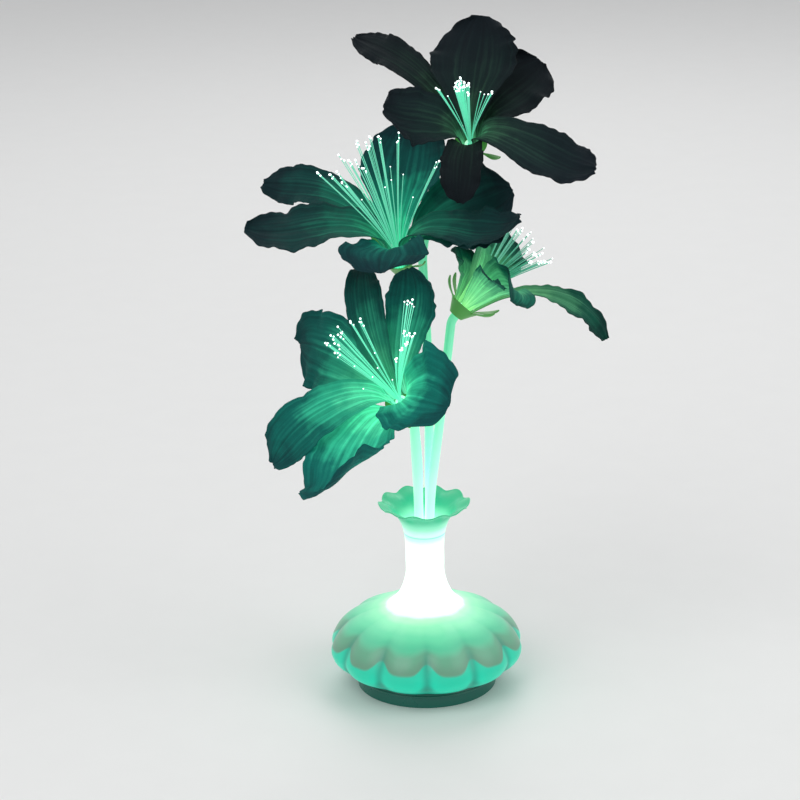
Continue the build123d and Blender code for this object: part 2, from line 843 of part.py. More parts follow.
def neck_collar():
    """The plug in the vase's neck: the ferrule's bore, a funnel above it, and four sockets."""
    bore = ferrule_radius + running_clearance
    funnel = socket_circle + bundle_radius + bundle_clearance + funnel_margin
    collar = turned(
        (bore, collar_bottom_z),
        (collar_radius, collar_bottom_z),
        (collar_radius, collar_top_z - collar_seat_height),
        (collar_seat_radius, collar_top_z),
        (0, collar_top_z),
        (0, collar_roof_z),
        (funnel, collar_roof_z),
        (bore, ferrule_high),
    )
    hole = bundle_radius + bundle_clearance
    for x, y in sockets.values():
        collar = collar - cylinder(hole, collar_roof_z - cut_past, stem_low + cut_past, x, y)
        collar = collar - cylinder(socket_radius, stem_low, collar_top_z + cut_past, x, y)
    return collar


def ferrule():
    inner = ferrule_radius - ferrule_wall
    tube = cylinder(ferrule_radius, ferrule_low, ferrule_high)
    return tube - cylinder(inner, ferrule_low - cut_past, ferrule_high + cut_past)


def fibre_trunk():
    """All the fibres as one bundle, which widens from the ferrule to the four sockets."""
    top = collar_roof_z - bundle_gap
    return turned(
        (0, ferrule_low),
        (trunk_radius, ferrule_low),
        (trunk_radius, ferrule_high),
        (socket_circle + bundle_radius - bundle_clearance, top),
        (0, top),
    )


# ---------------------------------------------------------------- stems and flower heads
class Head:
    """A flower's own frame: its axis, its upper side, and places given across and along it."""

    def __init__(self, flower):
        self.base = Vector(flower["base"])
        self.axis = Vector(flower["facing"]).normalized()
        up = Vector(0, 0, 1)
        self.upper = (up - self.axis * up.dot(self.axis)).normalized()
        self.right = self.upper.cross(self.axis)

    def outward(self, turn):
        angle = math.radians(turn)
        return self.right * math.cos(angle) + self.upper * math.sin(angle)

    def at(self, turn, out, along):
        return self.base + self.outward(turn) * out + self.axis * along

    def plane(self):
        return Plane(origin=self.base, x_dir=self.right, z_dir=self.axis)


def stem_route(name, low, end_along):
    """A stem's turning points, from a height in its socket to a place on the flower's axis."""
    flower = flowers[name]
    head = Head(flower)
    x, y = sockets[name]
    last_bend = head.at(0, 0, -flower["last_run"])
    end = head.at(0, 0, end_along)
    return [(x, y, low), (x, y, stem_first_bend_z), *flower["knees"], last_bend, end]


def lean_at(lean, share, straight):
    """Lean at a share of the length: the foot's over the straight share, then on the parabola
    through the leans of foot, middle and tip."""
    foot, middle, tip = lean
    share = max(0.0, (share - straight) / (1 - straight))
    bow = 2 * (foot + tip - 2 * middle)
    return foot + (tip - foot - bow) * share + bow * share * share


def centre_line(foot, lean, length, straight, steps=120):
    """(out, along, lean) at even steps along a petal's middle line."""
    out, along = foot
    line = []
    for i in range(steps + 1):
        angle = math.radians(lean_at(lean, i / steps, straight))
        line.append((out, along, angle))
        out += math.sin(angle) * length / steps
        along += math.cos(angle) * length / steps
    return line


def blade(head, turn, foot, lean, size, throat_angle, tube=0.0, twist=0.0):
    """A petal or sepal: thin crescent sections lofted along its middle line."""
    length, width, thickness = size
    line = centre_line(foot, lean, length, tube / length)
    across = head.outward(turn + 90)
    sections = []
    for share in (0.0, 0.07, 0.15, 0.23, 0.32, 0.42, 0.52, 0.62, 0.72, 0.82, 0.91, 0.985):
        out, along, angle = line[round(share * (len(line) - 1))]
        centre = head.at(turn, out, along)
        inward = head.outward(turn) * -math.cos(angle) + head.axis * math.sin(angle)
        spread = outline_start + (1 - outline_start) * share
        fullness = math.sin(math.pi * spread**outline_bias) ** outline_fullness
        wrap = out * math.sin(math.radians(throat_angle))
        wrap += throat_opening * max(share * length - tube, 0.0)
        half = min(width / 2 * fullness, wrap, throat_wrap_limit * out)
        around = (out - math.sqrt(out * out - half * half)) * max(math.cos(angle), 0.0)
        rolled = math.radians(twist) * share**2
        side = across * math.cos(rolled) + inward * math.sin(rolled)
        front = inward * math.cos(rolled) - across * math.sin(rolled)
        rise = front * (around + petal_cup * half)
        left, right = centre + side * half + rise, centre - side * half + rise
        upper, lower = centre + front * thickness / 2, centre - front * thickness / 2
        ring = Wire([ThreePointArc(left, upper, right), ThreePointArc(right, lower, left)])
        sections.append(Face(ring))
    return loft(sections)


def petals(name, layer):
    head, tube = Head(flowers[name]), flowers[name]["tube"]
    foot = (inner_petal_radius if layer == INNER else outer_petal_radius, 0.0)
    out = []
    for turn, lean, length, width, kind, twist in flowers[name]["petals"]:
        if kind == layer:
            size = (length, width, petal_thickness)
            out.append(blade(head, turn, foot, lean, size, throat_half_angle, tube, twist))
    return out


def hub(name):
    """The sleeve on the stem's end, which the petals and the calyx are threaded on."""
    sleeve = cylinder(hub_radius, -hub_below, hub_above)
    sleeve = sleeve - cylinder(socket_radius, -hub_below - cut_past, -stem_end_drop)
    hole = bundle_radius + bundle_clearance
    sleeve = sleeve - cylinder(hole, -hub_below, hub_above + cut_past)
    return Head(flowers[name]).plane() * sleeve


def calyx(name):
    """A green cup with slender sepals that curve away from its rim."""
    seat = outer_petal_radius + petal_thickness
    cup = turned(
        (calyx_bore, -calyx_below),
        (calyx_bore + calyx_wall, -calyx_below),
        (seat + calyx_wall, 0.0),
        (calyx_rim_radius + calyx_wall, calyx_above),
        (calyx_rim_radius, calyx_above),
        (seat, 0.0),
        (seat - petal_thickness / 2, -calyx_floor),
        (calyx_bore, -calyx_floor),
    )
    head = Head(flowers[name])
    cup = head.plane() * cup
    foot = (calyx_rim_radius + calyx_wall / 2, calyx_above - sepal_root)
    size = (sepal_length, sepal_width, sepal_thickness)
    for i in range(sepal_count):
        turn = flowers[name]["sepal_turn"] + i * 360 / sepal_count
        cup = cup + blade(head, turn, foot, sepal_lean, size, sepal_half_angle)
    return cup


def fibre_lean(name, turn):
    """How far a strand on this side may lean out: a share of the nearest petals' middle lean."""
    near = []
    for petal_turn, lean, *_ in flowers[name]["petals"]:
        apart = abs((petal_turn - turn + 180) % 360 - 180)
        if apart < fibre_lean_window:
            near.append(lean[1])
    return fibre_lean_share * min(near, default=fibre_open_lean)


def fibre_spray(name):
    """The strands that rise through the tube of petals and fan out above it."""
    head, throat = Head(flowers[name]), flowers[name]["tube"]
    strands = []
    for count, ring, share in fibre_rings:
        for i in range(count):
            turn = 360 * i / count + fibre_turn
            lean = math.radians(share * fibre_lean(name, turn))
            start = head.at(turn, ring, fibre_start)
            neck = head.at(turn, ring * fibre_spread, throat)
            reach = fibre_length - throat
            out = ring * fibre_spread + reach * math.sin(lean)
            end = head.at(turn, out, throat + reach * math.cos(lean))
            if share == 0:
                strands.append(rod(start, end, fibre_radius))
            else:
                strands.append(swept(bent_path([start, neck, end]), fibre_radius))
    return strands


# ---------------------------------------------------------------- write the nodes
os.makedirs("parts", exist_ok=True)
write("vase_shell", vase_shell())
write("base_cover", base_cover())
write("battery_door", battery_door())
write("base_screws", *base_screws())
write("battery_cells", *cells())
write("battery_springs", *contact_springs())
write("contact_plates_left", *contact_plates(-1))
write("contact_plates_right", *contact_plates(1))
write("switch_body", switch_body())
write("switch_knob", switch_knob())
write("switch_terminals", *switch_terminals())
write("circuit_board", circuit_board())
write("board_screws", *board_screws())
write("led", led())
write("led_legs", *led_legs())
write("driver_chip", driver_chip())
write("resistors", *resistors())
write("leads", *leads())
write("light_column", light_column())
write("column_lens", column_lens())
write("neck_collar", neck_collar())
write("ferrule", ferrule())
write("fibre_trunk", fibre_trunk())
for flower_name in flowers:
    tube_route = stem_route(flower_name, stem_low, -stem_end_drop)
    tube_path = bent_path(tube_route)
    bundle_path = bent_path(
        stem_route(flower_name, collar_roof_z, hub_above), bend_radii(tube_route)
    )
    write(f"stem_{flower_name}", swept(tube_path, stem_radius, stem_radius - stem_wall))
    write(f"fibre_bundle_{flower_name}", swept(bundle_path, bundle_radius))
    write(f"flower_hub_{flower_name}", hub(flower_name))
    write(f"calyx_{flower_name}", calyx(flower_name))
    write(f"inner_petals_{flower_name}", *petals(flower_name, INNER))
    write(f"outer_petals_{flower_name}", *petals(flower_name, OUTER))
    write(f"fibre_spray_{flower_name}", *fibre_spray(flower_name))
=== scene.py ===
import math
import random

import bpy
import bmesh
from mathutils import Matrix, Vector, noise


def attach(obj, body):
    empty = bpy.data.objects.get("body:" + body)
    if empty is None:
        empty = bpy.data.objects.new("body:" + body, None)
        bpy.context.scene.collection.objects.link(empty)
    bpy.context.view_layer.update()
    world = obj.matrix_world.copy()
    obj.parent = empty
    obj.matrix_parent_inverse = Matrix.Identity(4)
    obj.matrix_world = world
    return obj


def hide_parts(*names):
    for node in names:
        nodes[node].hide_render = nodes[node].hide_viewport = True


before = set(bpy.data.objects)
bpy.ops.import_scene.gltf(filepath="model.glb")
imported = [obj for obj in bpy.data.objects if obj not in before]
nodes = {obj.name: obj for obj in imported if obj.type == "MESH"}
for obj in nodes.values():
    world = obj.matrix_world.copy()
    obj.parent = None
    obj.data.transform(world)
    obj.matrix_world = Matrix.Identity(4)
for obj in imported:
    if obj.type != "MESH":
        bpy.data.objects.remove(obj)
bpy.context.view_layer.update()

mm = 0.001
print("frame loaded, %d nodes" % len(nodes))

# camera, a long lens in front of the lamp and above it
cameraSet = {
    "eye": (0.0, -1.15, 0.53),  # metres
    "tilt": 18.62,  # degrees below the horizon
    "turn": 0.52,  # degrees to the left
    "roll": -1.1,
    "lens": 117.0,
    "sensor": 36.0,
}


def makeCamera(s):
    data = bpy.data.cameras.new("lampCamera")
    data.lens = s["lens"]
    data.sensor_width = s["sensor"]
    camera = bpy.data.objects.new("lampCamera", data)
    bpy.context.collection.objects.link(camera)
    camera.matrix_world = (
        Matrix.Translation(s["eye"])
        @ Matrix.Rotation(math.radians(s["turn"]), 4, "Z")
        @ Matrix.Rotation(math.radians(90 - s["tilt"]), 4, "X")
        @ Matrix.Rotation(math.radians(s["roll"]), 4, "Z")
    )
    bpy.context.scene.camera = camera


makeCamera(cameraSet)


# small helpers for meshes
def smoothStep(low, high, x):
    t = min(1.0, max(0.0, (x - low) / (high - low)))
    return t * t * (3 - 2 * t)


def newPiece(name, verts, faces):
    mesh = bpy.data.meshes.new(name)
    mesh.from_pydata([tuple(v) for v in verts], [], faces)
    mesh.validate()
    for poly in mesh.polygons:
        poly.use_smooth = True
    piece = bpy.data.objects.new(name, mesh)
    bpy.context.collection.objects.link(piece)
    return piece


def addModifier(piece, kind, **values):
    modifier = piece.modifiers.new(kind.title(), kind)
    for key, value in values.items():
        setattr(modifier, key, value)
    return modifier


def curvePoints(points, steps):
    # points on a smooth line through the given (radius, height) points
    padded = [points[0], *points, points[-1]]
    line = []
    for a, b, c, d in zip(padded, padded[1:], padded[2:], padded[3:]):
        for i in range(steps):
            t = i / steps
            line.append(tuple(
                0.5 * (2 * q + (r - p) * t + (2 * p - 5 * q + 4 * r - s) * t * t
                       + (3 * q - p - 3 * r + s) * t ** 3)
                for p, q, r, s in zip(a, b, c, d)
            ))
    line.append(points[-1])
    return line


# shader helpers and the effects that several finishes share
def nodeOf(tree, kind, **values):
    node = tree.nodes.new(kind)
    for key, value in values.items():
        setattr(node, key, value)
    return node


def wire(tree, source, target):
    tree.links.new(source, target)


def maths(tree, operation, a, b=None, c=None, clamp=False):
    node = nodeOf(tree, "ShaderNodeMath", operation=operation, use_clamp=clamp)
    for socket, value in zip(node.inputs, (a, b, c)):
        if value is None:
            continue
        if isinstance(value, (int, float)):
            socket.default_value = value
        else:
            wire(tree, value, socket)
    return node.outputs[0]


def shiftOf(tree, value, width, clamp=False):
    # a noise of 0 to 1 as a shift, half the width either way
    return maths(tree, "MULTIPLY_ADD", value, width, -width / 2, clamp=clamp)


def dimmed(tree, value, depth):
    # 1 where the value is 1, and less by the depth where it is 0
    return maths(tree, "MULTIPLY_ADD", value, depth, 1 - depth)


def ramp(tree, factor, stops, interpolation="EASE"):
    node = nodeOf(tree, "ShaderNodeValToRGB")
    node.color_ramp.interpolation = interpolation
    elements = node.color_ramp.elements
    while len(elements) < len(stops):
        elements.new(0.5)
    for element, (place, colour) in zip(elements, stops):
        element.position = place
        element.color = (*colour, 1.0) if len(colour) == 3 else colour
    wire(tree, factor, node.inputs["Fac"])
    return node.outputs["Color"]


def mixColour(tree, factor, a, b, blend="MIX"):
    node = nodeOf(tree, "ShaderNodeMix", data_type="RGBA", blend_type=blend)
    for socket, value in zip((node.inputs[0], node.inputs[6], node.inputs[7]), (factor, a, b)):
        if isinstance(value, (int, float)):
            socket.default_value = value
        elif isinstance(value, tuple):
            socket.default_value = (*value, 1.0)
        else:
            wire(tree, value, socket)
    return node.outputs[2]


def scaledColour(tree, factor, colour):
    grey = nodeOf(tree, "ShaderNodeCombineXYZ")
    for socket in grey.inputs:
        wire(tree, factor, socket)
    return mixColour(tree, 1.0, colour, grey.outputs[0], "MULTIPLY")


def newGroup(name, inputs, outputs):
    group = bpy.data.node_groups.new(name, "ShaderNodeTree")
    for label, kind, value in inputs:
        socket = group.interface.new_socket(label, in_out="INPUT", socket_type=kind)
        if value is not None:
            socket.default_value = value
    for label, kind in outputs:
        group.interface.new_socket(label, in_out="OUTPUT", socket_type=kind)
    return group, nodeOf(group, "NodeGroupInput"), nodeOf(group, "NodeGroupOutput")


def makeMouldedGrain():
    # fine uneven sheen and faint flow marks of moulded plastic
    group, given, result = newGroup(
        "mouldedGrain",
        [("Vector", "NodeSocketVector", None), ("Roughness", "NodeSocketFloat", 0.3),
         ("Spread", "NodeSocketFloat", 0.1), ("Grain", "NodeSocketFloat", 900.0)],
        [("Roughness", "NodeSocketFloat"), ("Height", "NodeSocketFloat"),
         ("Cloud", "NodeSocketFloat")],
    )
    fine = nodeOf(group, "ShaderNodeTexNoise")
    fine.inputs["Detail"].default_value = 3.0
    wire(group, given.outputs["Vector"], fine.inputs["Vector"])
    wire(group, given.outputs["Grain"], fine.inputs["Scale"])
    cloud = nodeOf(group, "ShaderNodeTexNoise")
    cloud.inputs["Scale"].default_value = 45.0
    cloud.inputs["Detail"].default_value = 4.0
    wire(group, given.outputs["Vector"], cloud.inputs["Vector"])
    uneven = maths(group, "SUBTRACT", cloud.outputs["Fac"], 0.5)
    spread, middle = given.outputs["Spread"], given.outputs["Roughness"]
    rough = maths(group, "MULTIPLY_ADD", uneven, spread, middle)
    wire(group, rough, result.inputs["Roughness"])
    wire(group, fine.outputs["Fac"], result.inputs["Height"])
    wire(group, cloud.outputs["Fac"], result.inputs["Cloud"])
    return group


def makeSheerWeave():
    # plain weave of fine thread, from a flat position in millimetres
    group, given, result = newGroup(
        "sheerWeave",
        [("Vector", "NodeSocketVector", None), ("Thread", "NodeSocketFloat", 3.2)],
        [("Height", "NodeSocketFloat"), ("Tone", "NodeSocketFloat")],
    )
    bend = nodeOf(group, "ShaderNodeTexNoise")
    bend.inputs["Scale"].default_value = 0.35
    wire(group, given.outputs["Vector"], bend.inputs["Vector"])
    shift = nodeOf(group, "ShaderNodeVectorMath", operation="MULTIPLY_ADD")
    shift.inputs[1].default_value = (0.5, 0.5, 0.5)
    wire(group, bend.outputs["Color"], shift.inputs[0])
    wire(group, given.outputs["Vector"], shift.inputs[2])
    bands = []
    for direction in ("X", "Y"):
        band = nodeOf(group, "ShaderNodeTexWave", wave_type="BANDS", bands_direction=direction)
        wire(group, shift.outputs[0], band.inputs["Vector"])
        wire(group, given.outputs["Thread"], band.inputs["Scale"])
        bands.append(band.outputs["Fac"])
    height = maths(group, "MAXIMUM", bands[0], bands[1])
    slub = nodeOf(group, "ShaderNodeTexNoise")
    slub.inputs["Scale"].default_value = 1.4
    slub.inputs["Detail"].default_value = 5.0
    wire(group, given.outputs["Vector"], slub.inputs["Vector"])
    tone = maths(group, "MULTIPLY", maths(group, "ADD", height, 0.6), slub.outputs["Fac"])
    wire(group, height, result.inputs["Height"])
    wire(group, tone, result.inputs["Tone"])
    return group


mouldedGrain = makeMouldedGrain()
sheerWeave = makeSheerWeave()


def newMaterial(name):
    material = bpy.data.materials.new(name)
    material.use_nodes = True
    tree = material.node_tree
    return material, tree, tree.nodes["Principled BSDF"]


def placeGroup(tree, group, vector, **values):
    node = nodeOf(tree, "ShaderNodeGroup", node_tree=group)
    wire(tree, vector, node.inputs["Vector"])
    for key, value in values.items():
        node.inputs[key].default_value = value
    return node


def addBump(tree, surface, height, strength, distance):
    bump = nodeOf(tree, "ShaderNodeBump")
    bump.inputs["Strength"].default_value = strength
    bump.inputs["Distance"].default_value = distance
    wire(tree, height, bump.inputs["Height"])
    wire(tree, bump.outputs["Normal"], surface.inputs["Normal"])


def position(tree):
    return nodeOf(tree, "ShaderNodeTexCoord").outputs["Object"]


def separate(tree, vector):
    node = nodeOf(tree, "ShaderNodeSeparateXYZ")
    wire(tree, vector, node.inputs[0])
    return node.outputs


def plastic(name, v):
    material, tree, surface = newMaterial(name)
    grain = placeGroup(tree, mouldedGrain, position(tree), Roughness=v["roughness"], Spread=0.25)
    colour = mixColour(tree, grain.outputs["Cloud"], v["colour"], v["shade"])
    wire(tree, colour, surface.inputs["Base Color"])
    wire(tree, grain.outputs["Roughness"], surface.inputs["Roughness"])
    if "glow" in v:
        glow = mixColour(tree, grain.outputs["Cloud"], v["glow"], v["glowShade"])
        wire(tree, glow, surface.inputs["Emission Color"])
        surface.inputs["Emission Strength"].default_value = v["glowLevel"]
    addBump(tree, surface, grain.outputs["Height"], 0.15, 0.0001)
    return material


def metal(name, v):
    material, tree, surface = newMaterial(name)
    stretch = nodeOf(tree, "ShaderNodeMapping")
    stretch.inputs["Scale"].default_value = v["brushed"]
    wire(tree, position(tree), stretch.inputs["Vector"])
    where = stretch.outputs["Vector"]
    grain = placeGroup(tree, mouldedGrain, where, Roughness=v["roughness"], Spread=0.3)
    colour = mixColour(tree, grain.outputs["Cloud"], v["colour"], v["shade"])
    wire(tree, colour, surface.inputs["Base Color"])
    wire(tree, grain.outputs["Roughness"], surface.inputs["Roughness"])
    surface.inputs["Metallic"].default_value = 1.0
    addBump(tree, surface, grain.outputs["Height"], 0.2, 0.00005)
    return material


def paint(name, material):
    for materialSlot in nodes[name].material_slots:
        materialSlot.material = material


print("shader groups ready")

# vase: a lobed shell that glows from inside, brightest in the neck
vase = {
    "lobes": 12,
    "grooveDepth": 2.0,
    "profile": [  # height, crest radius, share of the groove depth, millimetres
        (7.3, 33.0, 0.30), (10.0, 39.8, 0.70), (13.5, 44.4, 0.95), (18.5, 46.5, 1.00),
        (23.0, 45.2, 1.00), (27.5, 42.4, 1.00), (31.5, 38.2, 0.85), (34.8, 32.0, 0.60),
        (37.4, 24.8, 0.35), (39.6, 18.2, 0.15), (44.6, 13.2, 0.0), (50.0, 10.6, 0.0),
    ],
    "neck": [  # height, radius
        (56.0, 9.2), (63.0, 9.2), (70.0, 9.2), (77.5, 10.0), (83.6, 12.2), (88.2, 16.2),
        (90.8, 21.8),
    ],
    "profileSteps": 4,
    "neckSteps": 5,
    "aroundLobe": 14,  # points round each lobe
    "wall": 1.4,
    "lipWall": 0.55,
    "lipSlope": 0.9,
    "lipEdge": [(0.35, 0.25), (0.85, -0.10)],  # above the lip's line, and outward
    "innerLow": 73.0,  # the inside is modelled down to here
    "flareLow": 84.5,
    "scallops": 10,
    "scallopDepth": 1.5,
    "scallopTurn": 95.0,
    "scallopLift": 0.9,
    "body": [  # height in millimetres, colour of the plastic with painted light: pale from 42 to 77 mm where the neck glows, and a painted grey-beige reflection on the lobes from 22 to 28 mm
        (7.3, (0.01, 0.20, 0.15)), (12.0, (0.01, 0.30, 0.22)), (20.5, (0.02, 0.30, 0.21)),
        (22.0, (0.15, 0.26, 0.19)), (28.0, (0.14, 0.30, 0.21)), (33.0, (0.09, 0.34, 0.22)),
        (38.5, (0.14, 0.46, 0.30)), (42.0, (0.50, 0.80, 0.66)), (77.0, (0.50, 0.80, 0.66)),
        (84.0, (0.08, 0.40, 0.26)), (88.0, (0.03, 0.32, 0.20)), (91.3, (0.06, 0.34, 0.21)),
    ],
    "glow": [  # height, light given off
        (7.3, (0.00, 0.02, 0.01)), (9.5, (0.00, 0.22, 0.14)), (13.0, (0.00, 0.42, 0.26)),
        (20.5, (0.00, 0.34, 0.21)), (22.0, (0.00, 0.08, 0.04)), (27.5, (0.01, 0.12, 0.06)),
        (31.5, (0.03, 0.28, 0.15)), (35.0, (0.08, 0.42, 0.22)), (37.6, (0.18, 0.52, 0.28)),
        (38.8, (0.40, 0.60, 0.40)), (40.0, (0.78, 0.88, 0.80)), (72.0, (0.80, 0.90, 0.84)),
        (76.0, (0.30, 0.66, 0.52)), (78.0, (0.40, 0.68, 0.56)), (82.0, (0.20, 0.56, 0.38)),
        (86.5, (0.01, 0.28, 0.13)), (91.3, (0.02, 0.26, 0.12)),
    ],
    "glowLevel": 1.0,
    "grooveReach": [  # height, how plainly the painted shade in the grooves and the painted reflection patches show
        (9.0, 0.0), (15.0, 1.0), (25.0, 1.0), (35.0, 0.0),
    ],
    # painted shade darkens the grooves, most between 15 and 25 mm
    "grooveShadeColour": (0.01, 0.14, 0.10),
    "grooveShadePower": 12.0,
    "grooveShadeShare": 0.6,
    "reflectionPatchLift": 5.0,  # the painted grey-beige reflection patch on each lobe ends higher near the grooves
    "reflectionPatchPower": 2.6,
    "cloudShift": 0.03,
    "collarShadeHeight": 76.4,  # edge of the collar, seen through the wall, drawn as a line of painted shade
    "collarShadeWidth": 0.5,
    "collarShadeShare": 0.75,
    "collarShadeColour": (0.08, 0.44, 0.34),
    "roughness": 0.34,
}


def lobeRadius(crest, groove, turn, lobes):
    # radius of the arc that bulges between two grooves, turn counted from its crest
    half = math.pi / lobes
    if crest - groove < 1e-6:
        return crest
    centre = (crest ** 2 - groove ** 2) / (2 * (crest - groove * math.cos(half)))
    reach = crest - centre
    aside = centre * math.sin(turn)
    return centre * math.cos(turn) + math.sqrt(max(reach ** 2 - aside ** 2, 0.0))


def makeVase(s):
    count = s["lobes"] * s["aroundLobe"]
    rows = curvePoints(s["profile"], s["profileSteps"])
    neck = curvePoints([s["profile"][-1][:2], *s["neck"]], s["neckSteps"])
    lipZ, lipRadius = s["neck"][-1]
    verts, rings = [], []

    def scallop(angle):
        step = 2 * math.pi / s["scallops"]
        turn = (angle - math.radians(s["scallopTurn"]) - step / 2) % step
        turn = turn - step if turn > step / 2 else turn
        edge = lobeRadius(lipRadius, lipRadius - s["scallopDepth"], turn, s["scallops"])
        return edge / lipRadius, math.cos(turn * s["scallops"])

    def addRing(height, radiusAt, lift=0.0):
        ring = []
        for i in range(count):
            angle = 2 * math.pi * i / count - math.pi / 2
            radius = radiusAt(i, angle)
            rise = lift * scallop(angle)[1] if lift else 0.0
            ring.append(len(verts))
            x, y = radius * math.cos(angle), radius * math.sin(angle)
            verts.append((x * mm, y * mm, (height + rise) * mm))
        rings.append(ring)

    def addFlared(height, radius, flare):
        # a round ring that takes on the lip's scallops as the flare grows
        def flared(i, angle):
            return radius * (1 + flare * (scallop(angle)[0] - 1))
        addRing(height, flared, s["scallopLift"] * flare ** 2)

    for z, crest, share in rows:
        def outer(i, angle, crest=crest, share=share):
            turn = ((i / s["aroundLobe"]) % 1 - 0.5) * 2 * math.pi / s["lobes"]
            return lobeRadius(crest, crest - share * s["grooveDepth"], turn, s["lobes"])
        addRing(z, outer)
    for z, radius in neck[1:]:
        addFlared(z, radius, smoothStep(s["flareLow"], lipZ, z))
    for rise, outward in s["lipEdge"]:
        addFlared(lipZ + rise, lipRadius + outward, 1.0)
    for z, radius in reversed(neck[1:-1]):
        if z < s["innerLow"]:
            break
        flare = smoothStep(s["flareLow"], lipZ, z)
        wall = s["wall"] + (s["lipWall"] - s["wall"]) * flare
        slope = s["lipSlope"] * flare
        addFlared(z + wall * slope, radius - wall * (1 - slope), flare)
    faces = []
    for a, b in zip(rings, rings[1:]):
        for i in range(count):
            j = (i + 1) % count
            faces.append((a[i], a[j], b[j], b[i]))
    shell = newPiece("vaseShell", verts, faces)
    addModifier(shell, "SUBSURF", levels=1, render_levels=1)
    return shell


def makeVaseFinish(s):
    material, tree, surface = newMaterial("glowingVase")
    where = position(tree)
    place = separate(tree, where)
    uneven = placeGroup(tree, mouldedGrain, where, Roughness=s["roughness"], Spread=0.12)
    low, high = s["glow"][0][0], s["glow"][-1][0]
    span = high - low

    def shares(stops):
        return [((z - low) / span, value) for z, value in stops]

    height = maths(tree, "MULTIPLY", place["Z"], 1.0 / mm)
    share = maths(tree, "MULTIPLY_ADD", height, 1.0 / span, -low / span, clamp=True)
    # 1 in a groove and 0 on the crest of a lobe; only where the grooves show, it lifts the painted
    # reflection patch and darkens the grooves with painted shade
    turn = maths(tree, "ARCTAN2", place["Y"], place["X"])
    wave = maths(tree, "COSINE", maths(tree, "MULTIPLY", turn, float(s["lobes"])))
    groove = dimmed(tree, wave, 0.5)
    reach = ramp(tree, share, shares([(z, (v, v, v)) for z, v in s["grooveReach"]]))
    lift = maths(tree, "MULTIPLY", maths(tree, "POWER", groove, s["reflectionPatchPower"]), reach)
    moved = maths(tree, "ADD", share, shiftOf(tree, uneven.outputs["Cloud"], s["cloudShift"]))
    moved = maths(tree, "MULTIPLY_ADD", lift, -s["reflectionPatchLift"] / span, moved, clamp=True)
    grooveShade = maths(tree, "MULTIPLY", maths(tree, "POWER", groove, s["grooveShadePower"]), reach)
    grooveShade = maths(tree, "MULTIPLY", grooveShade, s["grooveShadeShare"])
    # painted shade: a dark line where the collar's edge, seen through the wall, shades the glow
    off = maths(tree, "ABSOLUTE", maths(tree, "SUBTRACT", height, s["collarShadeHeight"]))
    ring = maths(tree, "MULTIPLY_ADD", off, -1.0 / s["collarShadeWidth"], 1.0, clamp=True)
    ring = maths(tree, "MULTIPLY", ring, s["collarShadeShare"])
    for stops, socket in (("body", "Base Color"), ("glow", "Emission Color")):
        colour = ramp(tree, moved, shares(s[stops]))
        colour = mixColour(tree, grooveShade, colour, s["grooveShadeColour"])
        wire(tree, mixColour(tree, ring, colour, s["collarShadeColour"]), surface.inputs[socket])
    surface.inputs["Emission Strength"].default_value = s["glowLevel"]
    wire(tree, uneven.outputs["Roughness"], surface.inputs["Roughness"])
    surface.inputs["Subsurface Weight"].default_value = 0.25
    surface.inputs["Subsurface Radius"].default_value = (0.002, 0.006, 0.004)
    surface.inputs["Specular IOR Level"].default_value = 0.35
    surface.inputs["Coat Weight"].default_value = 0.12
    surface.inputs["Coat Roughness"].default_value = 0.15
    addBump(tree, surface, uneven.outputs["Height"], 0.12, 0.0001)
    return material


vaseShell = makeVase(vase)
vaseShell.data.materials.append(makeVaseFinish(vase))
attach(vaseShell, "lamp_base")
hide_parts("vase_shell")
print("vase made")
